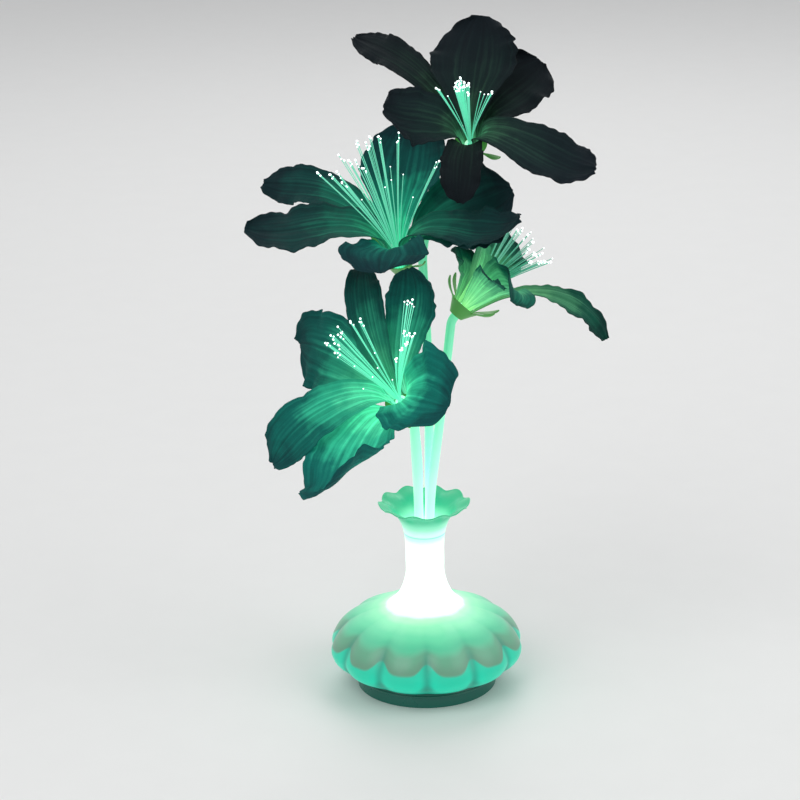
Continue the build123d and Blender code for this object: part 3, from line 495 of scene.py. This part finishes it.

# flowers, placed and shaped as the solids are; a petal's row holds its turn about the axis, leans
# at foot, middle and tip, length, width, layer, twist, ruffle, fold and how strongly it is lit, and
# a strand's row its turn, lean and length
# each flower's cloth, edge and vein colours are copies of one silk, lit and shaded by how the
# flower is lit; the cloth is painted paler near the throat, where the fibres light it
flowers = {
    "top": {
        "base": (24.0, 10.0, 260.5), "facing": (-0.08, -0.68, 0.73), "tube": 12.0,
        "petals": [
            (85, (7, 80, 48), 64, 41, "inner", -29, 1.4, 0.0, 0.60),
            (136, (23, 104, 114), 92, 16, "outer", -21, 1.2, 0.0, 0.30),
            (186, (14, 71, -6), 54, 31, "inner", 8, 1.4, 0.0, 1.00),
            (268, (16, 90, 141), 51, 19, "outer", 4, 1.0, 0.1, 0.10),
            (332, (13, 96, 34), 81, 24, "inner", 2, 1.4, 0.0, 1.00),
            (46, (19, 89, 78), 53, 38, "outer", -6, 1.6, 0.0, 0.20),
        ],
        "strands": [
            (251, 7, 57), (261, 9, 57), (266, 5, 57), (278, 7, 57), (287, 5, 57), (305, 6, 57),
            (330, 16, 57), (212, 13, 57), (265, 3, 58), (290, 9, 55), (240, 5, 56),
        ],
        "short": [
            (86, 9, 40), (188, 10, 42), (353, 12, 44), (108, 5, 46), (139, 9, 40), (11, 10, 42),
        ],
        "beam": 1.0,
        "cloth": [
            (0.00, (0.100, 0.260, 0.140)), (0.15, (0.050, 0.140, 0.080)),
            (0.30, (0.022, 0.055, 0.038)), (0.50, (0.008, 0.022, 0.022)),
            (0.75, (0.005, 0.013, 0.017)), (1.00, (0.005, 0.011, 0.016)),
        ],
        "edge": (0.005, 0.010, 0.014),
        "glow": [
            (0.00, (0.100, 0.500, 0.240)), (0.12, (0.040, 0.220, 0.100)),
            (0.28, (0.008, 0.040, 0.020)), (0.45, (0.000, 0.005, 0.003)),
            (1.00, (0.000, 0.000, 0.000)),
        ],
        "vein": (0.060, 0.140, 0.080),
    },
    "left": {
        "base": (-9.1, 0.0, 208.3), "facing": (-0.12, -0.33, 0.93), "tube": 11.0,
        "petals": [
            (93, (8, 62, 40), 69, 39, "inner", 4, 1.2, 0.0, 1.40),
            (157, (22, 97, 100), 95, 20, "outer", -65, 1.4, 0.0, 0.60),
            (198, (13, 93, 53), 80, 32, "inner", -5, 1.5, 0.0, 0.50),
            (278, (17, 75, 112), 41, 42, "outer", 0, 1.8, 0.0, 1.50),
            (352, (11, 88, 28), 81, 24, "inner", 15, 1.4, 0.0, 0.40),
            (14, (22, 78, 31), 67, 52, "outer", 31, 1.6, 0.0, 0.40),
        ],
        "strands": [
            (189, 31, 60), (193, 26, 57), (194, 22, 57), (222, 21, 57), (169, 23, 60),
            (173, 18, 57), (175, 14, 57), (217, 10, 57), (141, 21, 61), (131, 21, 59),
            (125, 21, 61), (114, 22, 60), (91, 23, 61), (17, 25, 59),
        ],
        "short": [
            (85, 7, 50), (330, 22, 48), (288, 10, 49), (317, 7, 50), (242, 19, 47),
            (359, 10, 51),
        ],
        "beam": 0.80,
        "cloth": [
            (0.00, (0.060, 0.340, 0.180)), (0.20, (0.020, 0.200, 0.120)),
            (0.42, (0.006, 0.085, 0.065)), (0.70, (0.004, 0.040, 0.040)),
            (1.00, (0.004, 0.022, 0.028)),
        ],
        "edge": (0.004, 0.028, 0.032),
        "glow": [
            (0.00, (0.08, 0.78, 0.40)), (0.20, (0.025, 0.42, 0.20)),
            (0.42, (0.004, 0.15, 0.085)), (0.68, (0.0, 0.030, 0.024)),
            (1.00, (0.0, 0.004, 0.004)),
        ],
        "vein": (0.050, 0.340, 0.200),
    },
    "front": {
        "base": (-9.2, -14.0, 146.0), "facing": (-0.35, -0.69, 0.64), "tube": 10.0,
        "petals": [
            (115, (11, 71, 119), 76, 18, "inner", 22, 1.0, 0.0, 0.35),
            (163, (17, 92, 123), 67, 39, "outer", -51, 1.6, 0.0, 0.75),
            (225, (8, 85, 138), 85, 25, "inner", -23, 1.4, 0.0, 1.15),
            (270, (26, 67, 21), 78, 48, "outer", 54, 1.8, 0.0, 1.50),
            (345, (18, 55, 77), 59, 43, "inner", -4, 1.8, 0.0, 1.40),
            (79, (22, 60, -6), 69, 24, "outer", 23, 1.2, 0.0, 0.70),
        ],
        "strands": [
            (139, 20, 57), (154, 19, 57), (167, 19, 57), (183, 11, 57), (120, 19, 57),
            (42, 24, 57), (36, 28, 57), (20, 21, 57), (5, 19, 57), (61, 31, 64), (60, 33, 64),
            (105, 19, 57), (39, 26, 56), (30, 24, 55), (160, 17, 54), (146, 18, 55),
        ],
        "short": [
            (339, 20, 50), (207, 6, 47), (314, 10, 47), (284, 15, 48), (344, 10, 50),
            (64, 8, 46),
        ],
        "beam": 1.30,
        "cloth": [
            (0.00, (0.12, 0.50, 0.28)), (0.30, (0.06, 0.32, 0.19)), (0.54, (0.010, 0.17, 0.12)),
            (0.78, (0.003, 0.085, 0.072)), (1.00, (0.003, 0.050, 0.050)),
        ],
        "edge": (0.004, 0.080, 0.070),
        "glow": [
            (0.00, (0.20, 0.95, 0.60)), (0.25, (0.06, 0.60, 0.31)), (0.50, (0.018, 0.29, 0.155)),
            (0.75, (0.0, 0.055, 0.042)), (1.00, (0.0, 0.012, 0.012)),
        ],
        "vein": (0.100, 0.500, 0.300),
    },
    "right": {
        "base": (18.8, 16.0, 181.6), "facing": (0.66, 0.10, 0.74), "tube": 12.0,
        "petals": [
            (5, (20, 40, 59), 48, 29, "inner", -8, 1.2, 0.0, 0.80),
            (59, (27, 53, 54), 27, 22, "outer", -21, 0.9, 0.0, 1.20),
            (105, (11, 44, 91), 58, 16, "inner", -53, 0.9, 0.0, 1.70),
            (166, (27, 64, 92), 39, 16, "outer", 4, 1.0, 0.0, 2.00),
            (199, (23, 56, 171), 41, 30, "inner", -19, 1.2, 0.0, 2.00),
            (267, (23, 69, 115), 77, 16, "outer", 60, 1.0, 0.0, 0.60),
        ],
        "strands": [
            (7, 32, 57), (358, 34, 56), (351, 32, 51), (348, 33, 54), (164, 27, 54),
            (171, 33, 57), (173, 34, 53), (179, 35, 54), (182, 35, 57), (187, 36, 53),
            (189, 36, 55), (192, 36, 57), (183, 35, 49),
        ],
        "short": [
            (224, 22, 50), (10, 18, 50), (169, 11, 50), (314, 10, 47), (114, 18, 48),
            (284, 15, 48),
        ],
        "beam": 0.25,
        "cloth": [
            (0.00, (0.20, 0.46, 0.18)), (0.36, (0.12, 0.38, 0.18)), (0.64, (0.05, 0.22, 0.12)),
            (0.84, (0.008, 0.10, 0.065)), (1.00, (0.004, 0.045, 0.036)),
        ],
        "edge": (0.005, 0.050, 0.040),
        "glow": [
            (0.00, (0.16, 0.50, 0.16)), (0.36, (0.07, 0.32, 0.12)), (0.64, (0.025, 0.15, 0.065)),
            (0.84, (0.0, 0.025, 0.014)), (1.00, (0.0, 0.004, 0.003)),
        ],
        "vein": (0.240, 0.500, 0.260),
    },
}
petalSet = {
    "innerStart": 3.3,  # distance from the axis at the foot, millimetres
    "outerStart": 4.45,
    "throatHalfAngle": 42.0,
    "throatOpening": 0.3,
    "throatWrapLimit": 0.93,
    "cup": 0.12,
    "outlineStart": 0.05,
    "outlineBias": 1.9,
    "outlineFullness": 0.5,
    "outlineEnd": 0.985,
    "tipFrom": 0.96,
    "tipTaper": 0.35,
    "edgeNoise": 0.05,
    "lineSteps": 120,
    "alongSteps": 60,
    "acrossSteps": 24,
    "freeFrom": 0.25,  # share of the length where the ruffles start, and where they are full
    "freeFull": 0.65,
    "waves": ((2.7, 1.0), (5.9, 0.6)),  # waves along a hem, and how strong
    "waveNoise": 0.8,
    "waveReach": 2.2,  # powers that keep the waves, the frill and the nicks near the hem
    "frillReach": 5,
    "jagReach": 3,
    "sideLag": 0.37,  # keeps the two hems from waving together
    "ribs": 9,
    "ribDepth": 0.14,
    "creaseDepth": 0.5,
    "creaseWidth": 0.09,
    "thickness": 0.3,
    "scallop": 5.2,  # length of one small wave of the hem, millimetres
    "fineRuffle": 0.5,
    "jag": 0.09,
}


class FlowerFrame:
    def __init__(self, flower):
        self.base = Vector(flower["base"])
        self.axis = Vector(flower["facing"]).normalized()
        up = Vector((0, 0, 1))
        self.upper = (up - self.axis * up.dot(self.axis)).normalized()
        self.right = self.upper.cross(self.axis)

    def outward(self, turn):
        angle = math.radians(turn)
        return self.right * math.cos(angle) + self.upper * math.sin(angle)

    def at(self, turn, out, along):
        return self.base + self.outward(turn) * out + self.axis * along


def petalLine(out, lean, length, tube, steps):
    # distance from the axis, height along it and lean, at even steps along a petal's middle
    foot, middle, tip = lean
    bow = 2 * (foot + tip - 2 * middle)
    along, line = 0.0, []
    for i in range(steps + 1):
        share = max(0.0, (i / steps - tube / length) / (1 - tube / length))
        angle = math.radians(foot + (tip - foot - bow) * share + bow * share * share)
        line.append((out, along, angle))
        out += math.sin(angle) * length / steps
        along += math.cos(angle) * length / steps
    return line


def makePetal(name, flower, row, s, seed):
    turn, lean, length, width, layer, twist, ruffle, fold, lit = row
    head = FlowerFrame(flower)
    line = petalLine(s[layer + "Start"], lean, length, flower["tube"], s["lineSteps"])
    steps, acrossSteps = s["alongSteps"], s["acrossSteps"]
    across = head.outward(turn + 90)
    chance = random.Random(seed)
    phase = [chance.uniform(0, 1) for wave in s["waves"]]
    verts, shape, flat, area = [], [], [], 0.0
    for i in range(steps + 1):
        share = i / steps
        out, along, angle = line[i * s["lineSteps"] // steps]
        inward = head.outward(turn) * -math.cos(angle) + head.axis * math.sin(angle)
        opened = s["outlineStart"] + (1 - s["outlineStart"]) * min(share, s["outlineEnd"])
        fullness = math.sin(math.pi * opened ** s["outlineBias"]) ** s["outlineFullness"]
        fullness *= 1 + s["edgeNoise"] * noise.noise(Vector((share * 9, seed * 3.1, 0)))
        fine = share * length / s["scallop"]
        wrap = out * math.sin(math.radians(s["throatHalfAngle"]))
        wrap += s["throatOpening"] * max(share * length - flower["tube"], 0.0)
        half = min(width / 2 * fullness, wrap, s["throatWrapLimit"] * out)
        half *= 1 - s["tipTaper"] * smoothStep(s["tipFrom"], 1.0, share)
        around = (out - math.sqrt(max(out * out - half * half, 0))) * max(math.cos(angle), 0)
        rolled = math.radians(twist) * share * share
        side = across * math.cos(rolled) + inward * math.sin(rolled)
        front = inward * math.cos(rolled) - across * math.sin(rolled)
        free = smoothStep(s["freeFrom"], s["freeFull"], share)
        centre = head.at(turn, out, along)
        area += 2 * half * length / (steps + 1)
        for k in range(acrossSteps + 1):
            w = -1 + 2 * k / acrossSteps
            lag = s["sideLag"] if w > 0 else 0.0
            wave = s["waveNoise"] * noise.noise(Vector((share * 14, lag * 9, seed)))
            for (often, strength), begin in zip(s["waves"], phase):
                wave += strength * math.sin(2 * math.pi * (often * share + begin + lag))
            rise = (around + (s["cup"] + fold * free) * half) * w * w
            rise += ruffle * free * abs(w) ** s["waveReach"] * wave
            crease = math.exp(-(w / s["creaseWidth"]) ** 2) * (0.3 + 0.7 * free)
            rise -= s["creaseDepth"] * crease
            rise += s["ribDepth"] * math.cos(math.pi * s["ribs"] * w) * min(1, half / 5)
            swell = noise.noise(Vector((share * 4 + seed, w * 2.0, 2.0))) * free * (1 - abs(w) ** 4)
            frill = math.sin(2 * math.pi * (fine + 1.7 * lag))
            rise += s["fineRuffle"] * free * abs(w) ** s["frillReach"] * frill
            nick = noise.noise(Vector((fine * 1.9, w * 3, seed)))
            jag = 1 + s["jag"] * free * abs(w) ** s["jagReach"] * nick
            verts.append((centre + side * half * w * jag + front * (rise + swell)) * mm)
            shape.append((0.5 + 0.5 * w, share))
            flat.append((half * w, share * length))
    faces = []
    stride = acrossSteps + 1
    for i in range(steps):
        for k in range(acrossSteps):
            a = i * stride + k
            faces.append((a, a + 1, a + stride + 1, a + stride))
    petal = newPiece(name, verts, faces)
    for label, places in (("shape", shape), ("cloth", flat), ("lit", [(lit, 0.5)] * len(shape))):
        layerUv = petal.data.uv_layers.new(name=label)
        for loop in petal.data.loops:
            layerUv.data[loop.index].uv = places[loop.vertex_index]
    addModifier(petal, "SUBSURF", levels=1, render_levels=1)
    addModifier(petal, "SOLIDIFY", thickness=s["thickness"] * mm, offset=0.0)
    return petal, area * mm * mm


silkSet = {
    "thread": 0.9,
    "dyeScale": 0.11,
    "dyeShift": 0.36,
    "streakStretch": (17.0, 1.1, 1.0),
    "streakPull": 0.24,
    "hemPull": 0.14,
    "veinContrast": 4.2,
    "veinFade": 1.1,
    "veinShare": 0.45,
    "furrowFrom": 0.25,
    "furrowContrast": 3.0,
    "furrowShadeDepth": 0.3,
    "furrowGlowShadeDepth": 0.4,
    "rimPower": 6.0,
    "rimShare": 0.8,
    "unlitDark": 0.5,
    "glowLevel": 1.0,
    "bumpStreak": 3.0,
}


def makePetalFinish(name, flower, s):
    material, tree, surface = newMaterial("silk_" + name)
    shapeUv = nodeOf(tree, "ShaderNodeUVMap", uv_map="shape").outputs["UV"]
    clothUv = nodeOf(tree, "ShaderNodeUVMap", uv_map="cloth").outputs["UV"]
    litUv = nodeOf(tree, "ShaderNodeUVMap", uv_map="lit").outputs["UV"]
    lighting = separate(tree, litUv)["X"]
    place = separate(tree, shapeUv)
    weave = placeGroup(tree, sheerWeave, clothUv, Thread=s["thread"])
    # how far along and across the petal, with an uneven dye line
    dye = nodeOf(tree, "ShaderNodeTexNoise")
    dye.inputs["Scale"].default_value = s["dyeScale"]
    dye.inputs["Detail"].default_value = 5.0
    wire(tree, clothUv, dye.inputs["Vector"])
    uneven = shiftOf(tree, dye.outputs["Fac"], s["dyeShift"])
    offCentre = maths(tree, "ABSOLUTE", shiftOf(tree, place["X"], 2.0))
    # veins that run together towards the foot, and pull the dye along with them
    stretch = nodeOf(tree, "ShaderNodeMapping")
    stretch.inputs["Scale"].default_value = s["streakStretch"]
    wire(tree, shapeUv, stretch.inputs["Vector"])
    noiseNode = nodeOf(tree, "ShaderNodeTexNoise")
    noiseNode.inputs["Scale"].default_value = 1.0
    noiseNode.inputs["Detail"].default_value = 4.0
    wire(tree, stretch.outputs["Vector"], noiseNode.inputs["Vector"])
    streak = noiseNode.outputs["Fac"]
    along = maths(tree, "ADD", maths(tree, "ADD", place["Y"], uneven), s["streakPull"] / 2)
    along = maths(tree, "MULTIPLY_ADD", streak, -s["streakPull"], along)
    hem = maths(tree, "POWER", offCentre, 2.0)
    along = maths(tree, "MULTIPLY_ADD", hem, s["hemPull"], along, clamp=True)
    veins = shiftOf(tree, streak, s["veinContrast"], clamp=True)
    fade = maths(tree, "SUBTRACT", 1.0, maths(tree, "MULTIPLY", along, s["veinFade"]), clamp=True)
    veins = maths(tree, "MULTIPLY", veins, fade)
    # painted shade: the furrows between the raised streaks come out darker and give off less glow
    steep = s["furrowContrast"]
    furrowShadeMask = maths(tree, "MULTIPLY_ADD", streak, steep, -steep * s["furrowFrom"], clamp=True)
    # the cloth's colour, with painted light: paler towards the throat, and brighter on the better
    # lit flowers
    colour = ramp(tree, along, flower["cloth"])
    rim = maths(tree, "MULTIPLY", maths(tree, "POWER", offCentre, s["rimPower"]), s["rimShare"])
    colour = mixColour(tree, rim, colour, flower["edge"])
    veined = maths(tree, "MULTIPLY", veins, s["veinShare"])
    colour = mixColour(tree, veined, colour, flower["vein"])
    # the weave's tone, scaled by the painted shade in the furrows and by how strongly each petal is
    # lit
    tone = maths(tree, "MULTIPLY_ADD", weave.outputs["Tone"], 0.35, 0.78)
    tone = maths(tree, "MULTIPLY", tone, dimmed(tree, furrowShadeMask, s["furrowShadeDepth"]))
    tone = maths(tree, "MULTIPLY", tone, dimmed(tree, lighting, s["unlitDark"]))
    wire(tree, scaledColour(tree, tone, colour), surface.inputs["Base Color"])
    # the fibres' light in the cloth
    bright = maths(tree, "MULTIPLY_ADD", veins, 0.6, 0.8)
    lit = maths(tree, "MULTIPLY", dimmed(tree, furrowShadeMask, s["furrowGlowShadeDepth"]), bright)
    lit = maths(tree, "MULTIPLY", lit, lighting)
    glow = scaledColour(tree, lit, ramp(tree, along, flower["glow"]))
    wire(tree, glow, surface.inputs["Emission Color"])
    surface.inputs["Emission Strength"].default_value = s["glowLevel"]
    surface.inputs["Roughness"].default_value = 0.8
    surface.inputs["Specular IOR Level"].default_value = 0.15
    height = maths(tree, "MULTIPLY_ADD", streak, s["bumpStreak"], weave.outputs["Height"])
    addBump(tree, surface, height, 0.5, 0.0002)
    return material


for flowerName, flower in flowers.items():
    finish = makePetalFinish(flowerName, flower, silkSet)
    for i, row in enumerate(flower["petals"]):
        seed = sum(ord(c) for c in flowerName) + i
        petal, area = makePetal("petal_%s_%d" % (flowerName, i + 1), flower, row, petalSet, seed)
        petal.data.materials.append(finish)
        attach(petal, "flower_" + flowerName)
        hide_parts("%s_petals_%s" % (row[4], flowerName))
print("petals made")

# fibre strands that rise through the tube of petals and fan out, with a bright cut end on each
strandSet = {
    "start": 2.2,  # height above the hub, millimetres
    "ring": 1.2,
    "startShare": 0.6,
    "throat": 1.15,
    "steps": 14,
    "radius": 0.16,
    "tipRadius": 0.5,
    "shortTip": 0.6,
    "doubles": 3,  # strands that lie beside each long one
    "doubleTurn": 0.8,
    "doubleLean": (-1.2, 0.4),
    "doubleLength": (0.93, 1.0),
    "doubleTip": (0.6, 0.9),
    "colour": (0.20, 0.66, 0.48),
    "glow": (0.10, 0.56, 0.36),
    "glowLevel": 0.9,
    "tipColour": (0.9, 1.0, 0.98),
    "tipGlow": (0.86, 1.0, 0.97),
    "tipLevel": 2.0,
}


def strandPoints(flower, turn, lean, length, s):
    head = FlowerFrame(flower)
    angle = math.radians(lean)
    start = head.at(turn, s["ring"] * s["startShare"], s["start"])
    neck = head.at(turn, s["ring"], flower["tube"] * s["throat"])
    tip = head.at(turn, length * math.sin(angle), length * math.cos(angle))
    points = []
    for i in range(s["steps"] + 1):
        t = i / s["steps"]
        points.append((start * (1 - t) ** 2 + neck * 2 * t * (1 - t) + tip * t * t) * mm)
    return points


def makeStrands(name, flower, s):
    chance = random.Random(len(name) * 7 + 5)
    wanted = [(*strand, s["shortTip"]) for strand in flower["short"]]
    for turn, lean, length in flower["strands"]:
        wanted.append((turn, lean, length, 1.0))
        aside = s["doubleTurn"]
        for double in range(s["doubles"]):
            turned = turn + chance.uniform(-aside, aside) / math.sin(math.radians(lean))
            leaned = lean + chance.uniform(*s["doubleLean"])
            shorter = length * chance.uniform(*s["doubleLength"])
            wanted.append((turned, leaned, shorter, chance.uniform(*s["doubleTip"])))
    curve = bpy.data.curves.new("fibreStrands_" + name, "CURVE")
    curve.dimensions = "3D"
    curve.bevel_depth = s["radius"] * mm
    curve.bevel_resolution = 2
    curve.use_fill_caps = True
    tips = bmesh.new()
    for turn, lean, length, size in wanted:
        points = strandPoints(flower, turn, lean, length, s)
        spline = curve.splines.new("POLY")
        spline.points.add(len(points) - 1)
        for target, point in zip(spline.points, points):
            target.co = (*point, 1.0)
        run = (points[-1] - points[-2]).normalized()
        place = Matrix.Translation(points[-1]) @ run.to_track_quat("Z", "Y").to_matrix().to_4x4()
        radius = s["tipRadius"] * mm * size
        bmesh.ops.create_uvsphere(tips, u_segments=10, v_segments=7, radius=radius, matrix=place)
    strands = bpy.data.objects.new("fibreStrands_" + name, curve)
    bpy.context.collection.objects.link(strands)
    mesh = bpy.data.meshes.new("fibreTips_" + name)
    tips.to_mesh(mesh)
    tips.free()
    for poly in mesh.polygons:
        poly.use_smooth = True
    ends = bpy.data.objects.new("fibreTips_" + name, mesh)
    bpy.context.collection.objects.link(ends)
    return strands, ends


def makeFibreFinish(name, colour, glow, level):
    material, tree, surface = newMaterial(name)
    grain = placeGroup(tree, mouldedGrain, position(tree), Roughness=0.15, Spread=0.1)
    for bright, shade, socket in ((colour, 0.8, "Base Color"), (glow, 0.6, "Emission Color")):
        dull = tuple(shade * c for c in bright)
        wire(tree, mixColour(tree, grain.outputs["Cloud"], bright, dull), surface.inputs[socket])
    wire(tree, grain.outputs["Roughness"], surface.inputs["Roughness"])
    surface.inputs["Emission Strength"].default_value = level
    return material


def makeStrandFinish(name, beam, s):
    return makeFibreFinish(name, s["colour"], s["glow"], s["glowLevel"] * beam)


strandFinish = makeStrandFinish("fibreStrand", 1.0, strandSet)
tipFinish = makeFibreFinish(
    "fibreTip", strandSet["tipColour"], strandSet["tipGlow"], strandSet["tipLevel"])
for flowerName, flower in flowers.items():
    strands, ends = makeStrands(flowerName, flower, strandSet)
    strands.data.materials.append(
        makeStrandFinish("fibreStrand_" + flowerName, flower["beam"], strandSet))
    ends.data.materials.append(tipFinish)
    for piece in (strands, ends):
        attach(piece, "flower_" + flowerName)
        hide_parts("fibre_spray_" + flowerName)
print("fibre strands made")

# stems: clear tubes, with painted light that makes them nearly white where they leave the vase
stemSet = {
    "low": 80.0,  # heights between which the colours change, millimetres
    "high": 255.0,
    # painted light: the base colour is pale low down, near the vase's glowing neck, and greener
    # higher up
    "colour": [(0.0, (0.66, 0.92, 0.80)), (0.3, (0.22, 0.72, 0.46)), (1.0, (0.12, 0.50, 0.30))],
    "glow": [
        (0.0, (0.62, 1.00, 0.82)), (0.18, (0.24, 0.86, 0.52)), (0.5, (0.08, 0.50, 0.26)),
        (1.0, (0.04, 0.28, 0.14)),
    ],
    "glowLevel": 0.8,
    "cloudShift": 0.1,
}


def makeStemFinish(s):
    material, tree, surface = newMaterial("stemTube")
    where = position(tree)
    grain = placeGroup(tree, mouldedGrain, where, Roughness=0.22, Spread=0.15)
    span = s["high"] - s["low"]
    height = separate(tree, where)["Z"]
    share = maths(tree, "MULTIPLY_ADD", height, 1.0 / mm / span, -s["low"] / span)
    cloud = shiftOf(tree, grain.outputs["Cloud"], s["cloudShift"])
    share = maths(tree, "ADD", share, cloud, clamp=True)
    wire(tree, ramp(tree, share, s["colour"], "LINEAR"), surface.inputs["Base Color"])
    wire(tree, ramp(tree, share, s["glow"], "LINEAR"), surface.inputs["Emission Color"])
    wire(tree, grain.outputs["Roughness"], surface.inputs["Roughness"])
    surface.inputs["Emission Strength"].default_value = s["glowLevel"]
    surface.inputs["Coat Weight"].default_value = 0.3
    return material


# calyx cups and sepals
calyxSet = {
    "colour": (0.12, 0.34, 0.08),
    "shade": (0.05, 0.20, 0.05),
    "glow": (0.04, 0.16, 0.02),
    "glowShade": (0.02, 0.09, 0.02),
    "glowLevel": 0.7,
    "roughness": 0.4,
}
# small hub that the petals of a flower sit on
hubSet = {
    "colour": (0.66, 0.90, 0.72),
    "shade": (0.50, 0.80, 0.60),
    "glow": (0.50, 1.0, 0.70),
    "glowShade": (0.40, 0.90, 0.60),
    "glowLevel": 0.8,
    "roughness": 0.35,
}
stemFinish = makeStemFinish(stemSet)
calyxFinish = plastic("calyxGreen", calyxSet)
hubFinish = plastic("hubWhite", hubSet)
for flowerName in flowers:
    paint("stem_" + flowerName, stemFinish)
    paint("calyx_" + flowerName, calyxFinish)
    paint("flower_hub_" + flowerName, hubFinish)
    paint("fibre_bundle_" + flowerName, strandFinish)

# the foot and everything inside it, each finish with the nodes that have it
footSet = {
    "colour": (0.008, 0.11, 0.085), "shade": (0.005, 0.08, 0.06), "roughness": 0.3,
    "glow": (0.0, 0.03, 0.02), "glowShade": (0.0, 0.02, 0.015), "glowLevel": 0.6,
}
collarSet = {
    "colour": (0.60, 0.92, 0.78), "shade": (0.45, 0.84, 0.66), "roughness": 0.3,
    "glow": (0.60, 1.0, 0.80), "glowShade": (0.45, 0.90, 0.66), "glowLevel": 0.8,
}
lensSet = {
    "colour": (0.70, 0.88, 0.84), "shade": (0.60, 0.80, 0.76), "roughness": 0.1,
    "glow": (0.20, 0.90, 0.60), "glowShade": (0.15, 0.80, 0.50), "glowLevel": 0.8,
}
plainPlastics = [  # finish, colour, shade, roughness, nodes
    ("doorPlastic", (0.026, 0.15, 0.12), (0.016, 0.10, 0.08), 0.35, ["battery_door"]),
    ("blackPlastic", (0.016, 0.016, 0.018), (0.026, 0.026, 0.028), 0.4,
     ["switch_body", "switch_knob", "driver_chip"]),
    ("whitePlastic", (0.72, 0.76, 0.73), (0.60, 0.64, 0.62), 0.4, ["light_column"]),
    ("redInsulation", (0.42, 0.02, 0.018), (0.30, 0.014, 0.012), 0.45, ["leads"]),
    ("boardGreen", (0.012, 0.15, 0.045), (0.008, 0.10, 0.03), 0.3, ["circuit_board"]),
    ("resistorTan", (0.46, 0.33, 0.17), (0.34, 0.23, 0.11), 0.4, ["resistors"]),
]
metals = [  # finish, colour, shade, roughness, stretch of the brushed grain, nodes
    ("zincSteel", (0.60, 0.61, 0.63), (0.48, 0.49, 0.51), 0.3, (1, 1, 1),
     ["base_screws", "board_screws"]),
    ("nickelPlate", (0.68, 0.67, 0.64), (0.56, 0.55, 0.52), 0.22, (1, 6, 1),
     ["battery_springs", "contact_plates_left", "contact_plates_right", "switch_terminals",
      "led_legs"]),
    ("cellLabel", (0.12, 0.14, 0.16), (0.30, 0.31, 0.33), 0.28, (0.3, 3, 3), ["battery_cells"]),
    ("turnedBrass", (0.70, 0.52, 0.24), (0.58, 0.42, 0.18), 0.25, (1, 1, 5), ["ferrule"]),
]
paint("base_cover", plastic("footPlastic", footSet))
paint("neck_collar", plastic("collarPlastic", collarSet))
lensFinish = plastic("lensClear", lensSet)
for name in ("led", "column_lens", "fibre_trunk"):
    paint(name, lensFinish)
for label, colour, shade, roughness, names in plainPlastics:
    finish = plastic(label, {"colour": colour, "shade": shade, "roughness": roughness})
    for name in names:
        paint(name, finish)
for label, colour, shade, roughness, brushed, names in metals:
    finish = metal(
        label, {"colour": colour, "shade": shade, "roughness": roughness, "brushed": brushed})
    for name in names:
        paint(name, finish)
print("carried nodes painted")

# studio: pale floor, soft lamps, plain light world
studio = {
    "floorSize": 6.0,
    "floorColour": (0.80, 0.80, 0.79),
    "worldColour": (0.90, 0.91, 0.93),
    "worldLevel": 0.55,
    "backdrop": (0.93, 0.93, 0.93),
    "lamps": [  # place, size, watts
        ((-0.9, -1.1, 1.5), 1.6, 14.0),
        ((1.2, -0.5, 1.0), 1.4, 7.0),
        ((0.1, 1.2, 1.2), 1.2, 6.0),
    ],
    "aim": (0, 0, 0.15),
}


def makeFloor(s):
    half = s["floorSize"] / 2
    corners = [(-half, -half, 0), (half, -half, 0), (half, half, 0), (-half, half, 0)]
    floor = newPiece("studioFloor", corners, [(0, 1, 2, 3)])
    material, tree, surface = newMaterial("studioFloorPaint")
    grain = placeGroup(tree, mouldedGrain, position(tree), Roughness=0.6, Spread=0.1)
    pale = s["floorColour"]
    dull = tuple(c * 0.98 for c in pale)
    wire(tree, mixColour(tree, grain.outputs["Cloud"], pale, dull), surface.inputs["Base Color"])
    wire(tree, grain.outputs["Roughness"], surface.inputs["Roughness"])
    floor.data.materials.append(material)


def makeWorld(s):
    world = bpy.data.worlds.new("studioWorld")
    bpy.context.scene.world = world
    world.use_nodes = True
    tree = world.node_tree
    tree.nodes.clear()
    path = nodeOf(tree, "ShaderNodeLightPath")
    seen = maths(tree, "ADD", path.outputs["Is Camera Ray"], path.outputs["Is Glossy Ray"])
    seen = maths(tree, "ADD", seen, path.outputs["Is Transmission Ray"], clamp=True)
    plain = nodeOf(tree, "ShaderNodeBackground")
    plain.inputs["Color"].default_value = (*s["worldColour"], 1)
    plain.inputs["Strength"].default_value = s["worldLevel"]
    shown = nodeOf(tree, "ShaderNodeBackground")
    shown.inputs["Color"].default_value = (*s["backdrop"], 1)
    shown.inputs["Strength"].default_value = 1.0
    mix = nodeOf(tree, "ShaderNodeMixShader")
    wire(tree, seen, mix.inputs[0])
    wire(tree, plain.outputs[0], mix.inputs[1])
    wire(tree, shown.outputs[0], mix.inputs[2])
    wire(tree, mix.outputs[0], nodeOf(tree, "ShaderNodeOutputWorld").inputs[0])


def makeLamps(s):
    for i, (place, size, watts) in enumerate(s["lamps"]):
        data = bpy.data.lights.new("softLamp%d" % (i + 1), "AREA")
        data.shape = "DISK"
        data.size = size
        data.energy = watts
        lamp = bpy.data.objects.new(data.name, data)
        bpy.context.collection.objects.link(lamp)
        lamp.location = place
        aim = Vector(s["aim"]) - Vector(place)
        lamp.rotation_euler = aim.to_track_quat("-Z", "Y").to_euler()


makeFloor(studio)
makeWorld(studio)
makeLamps(studio)
bpy.context.scene.view_settings.view_transform = "Standard"
print("studio made")
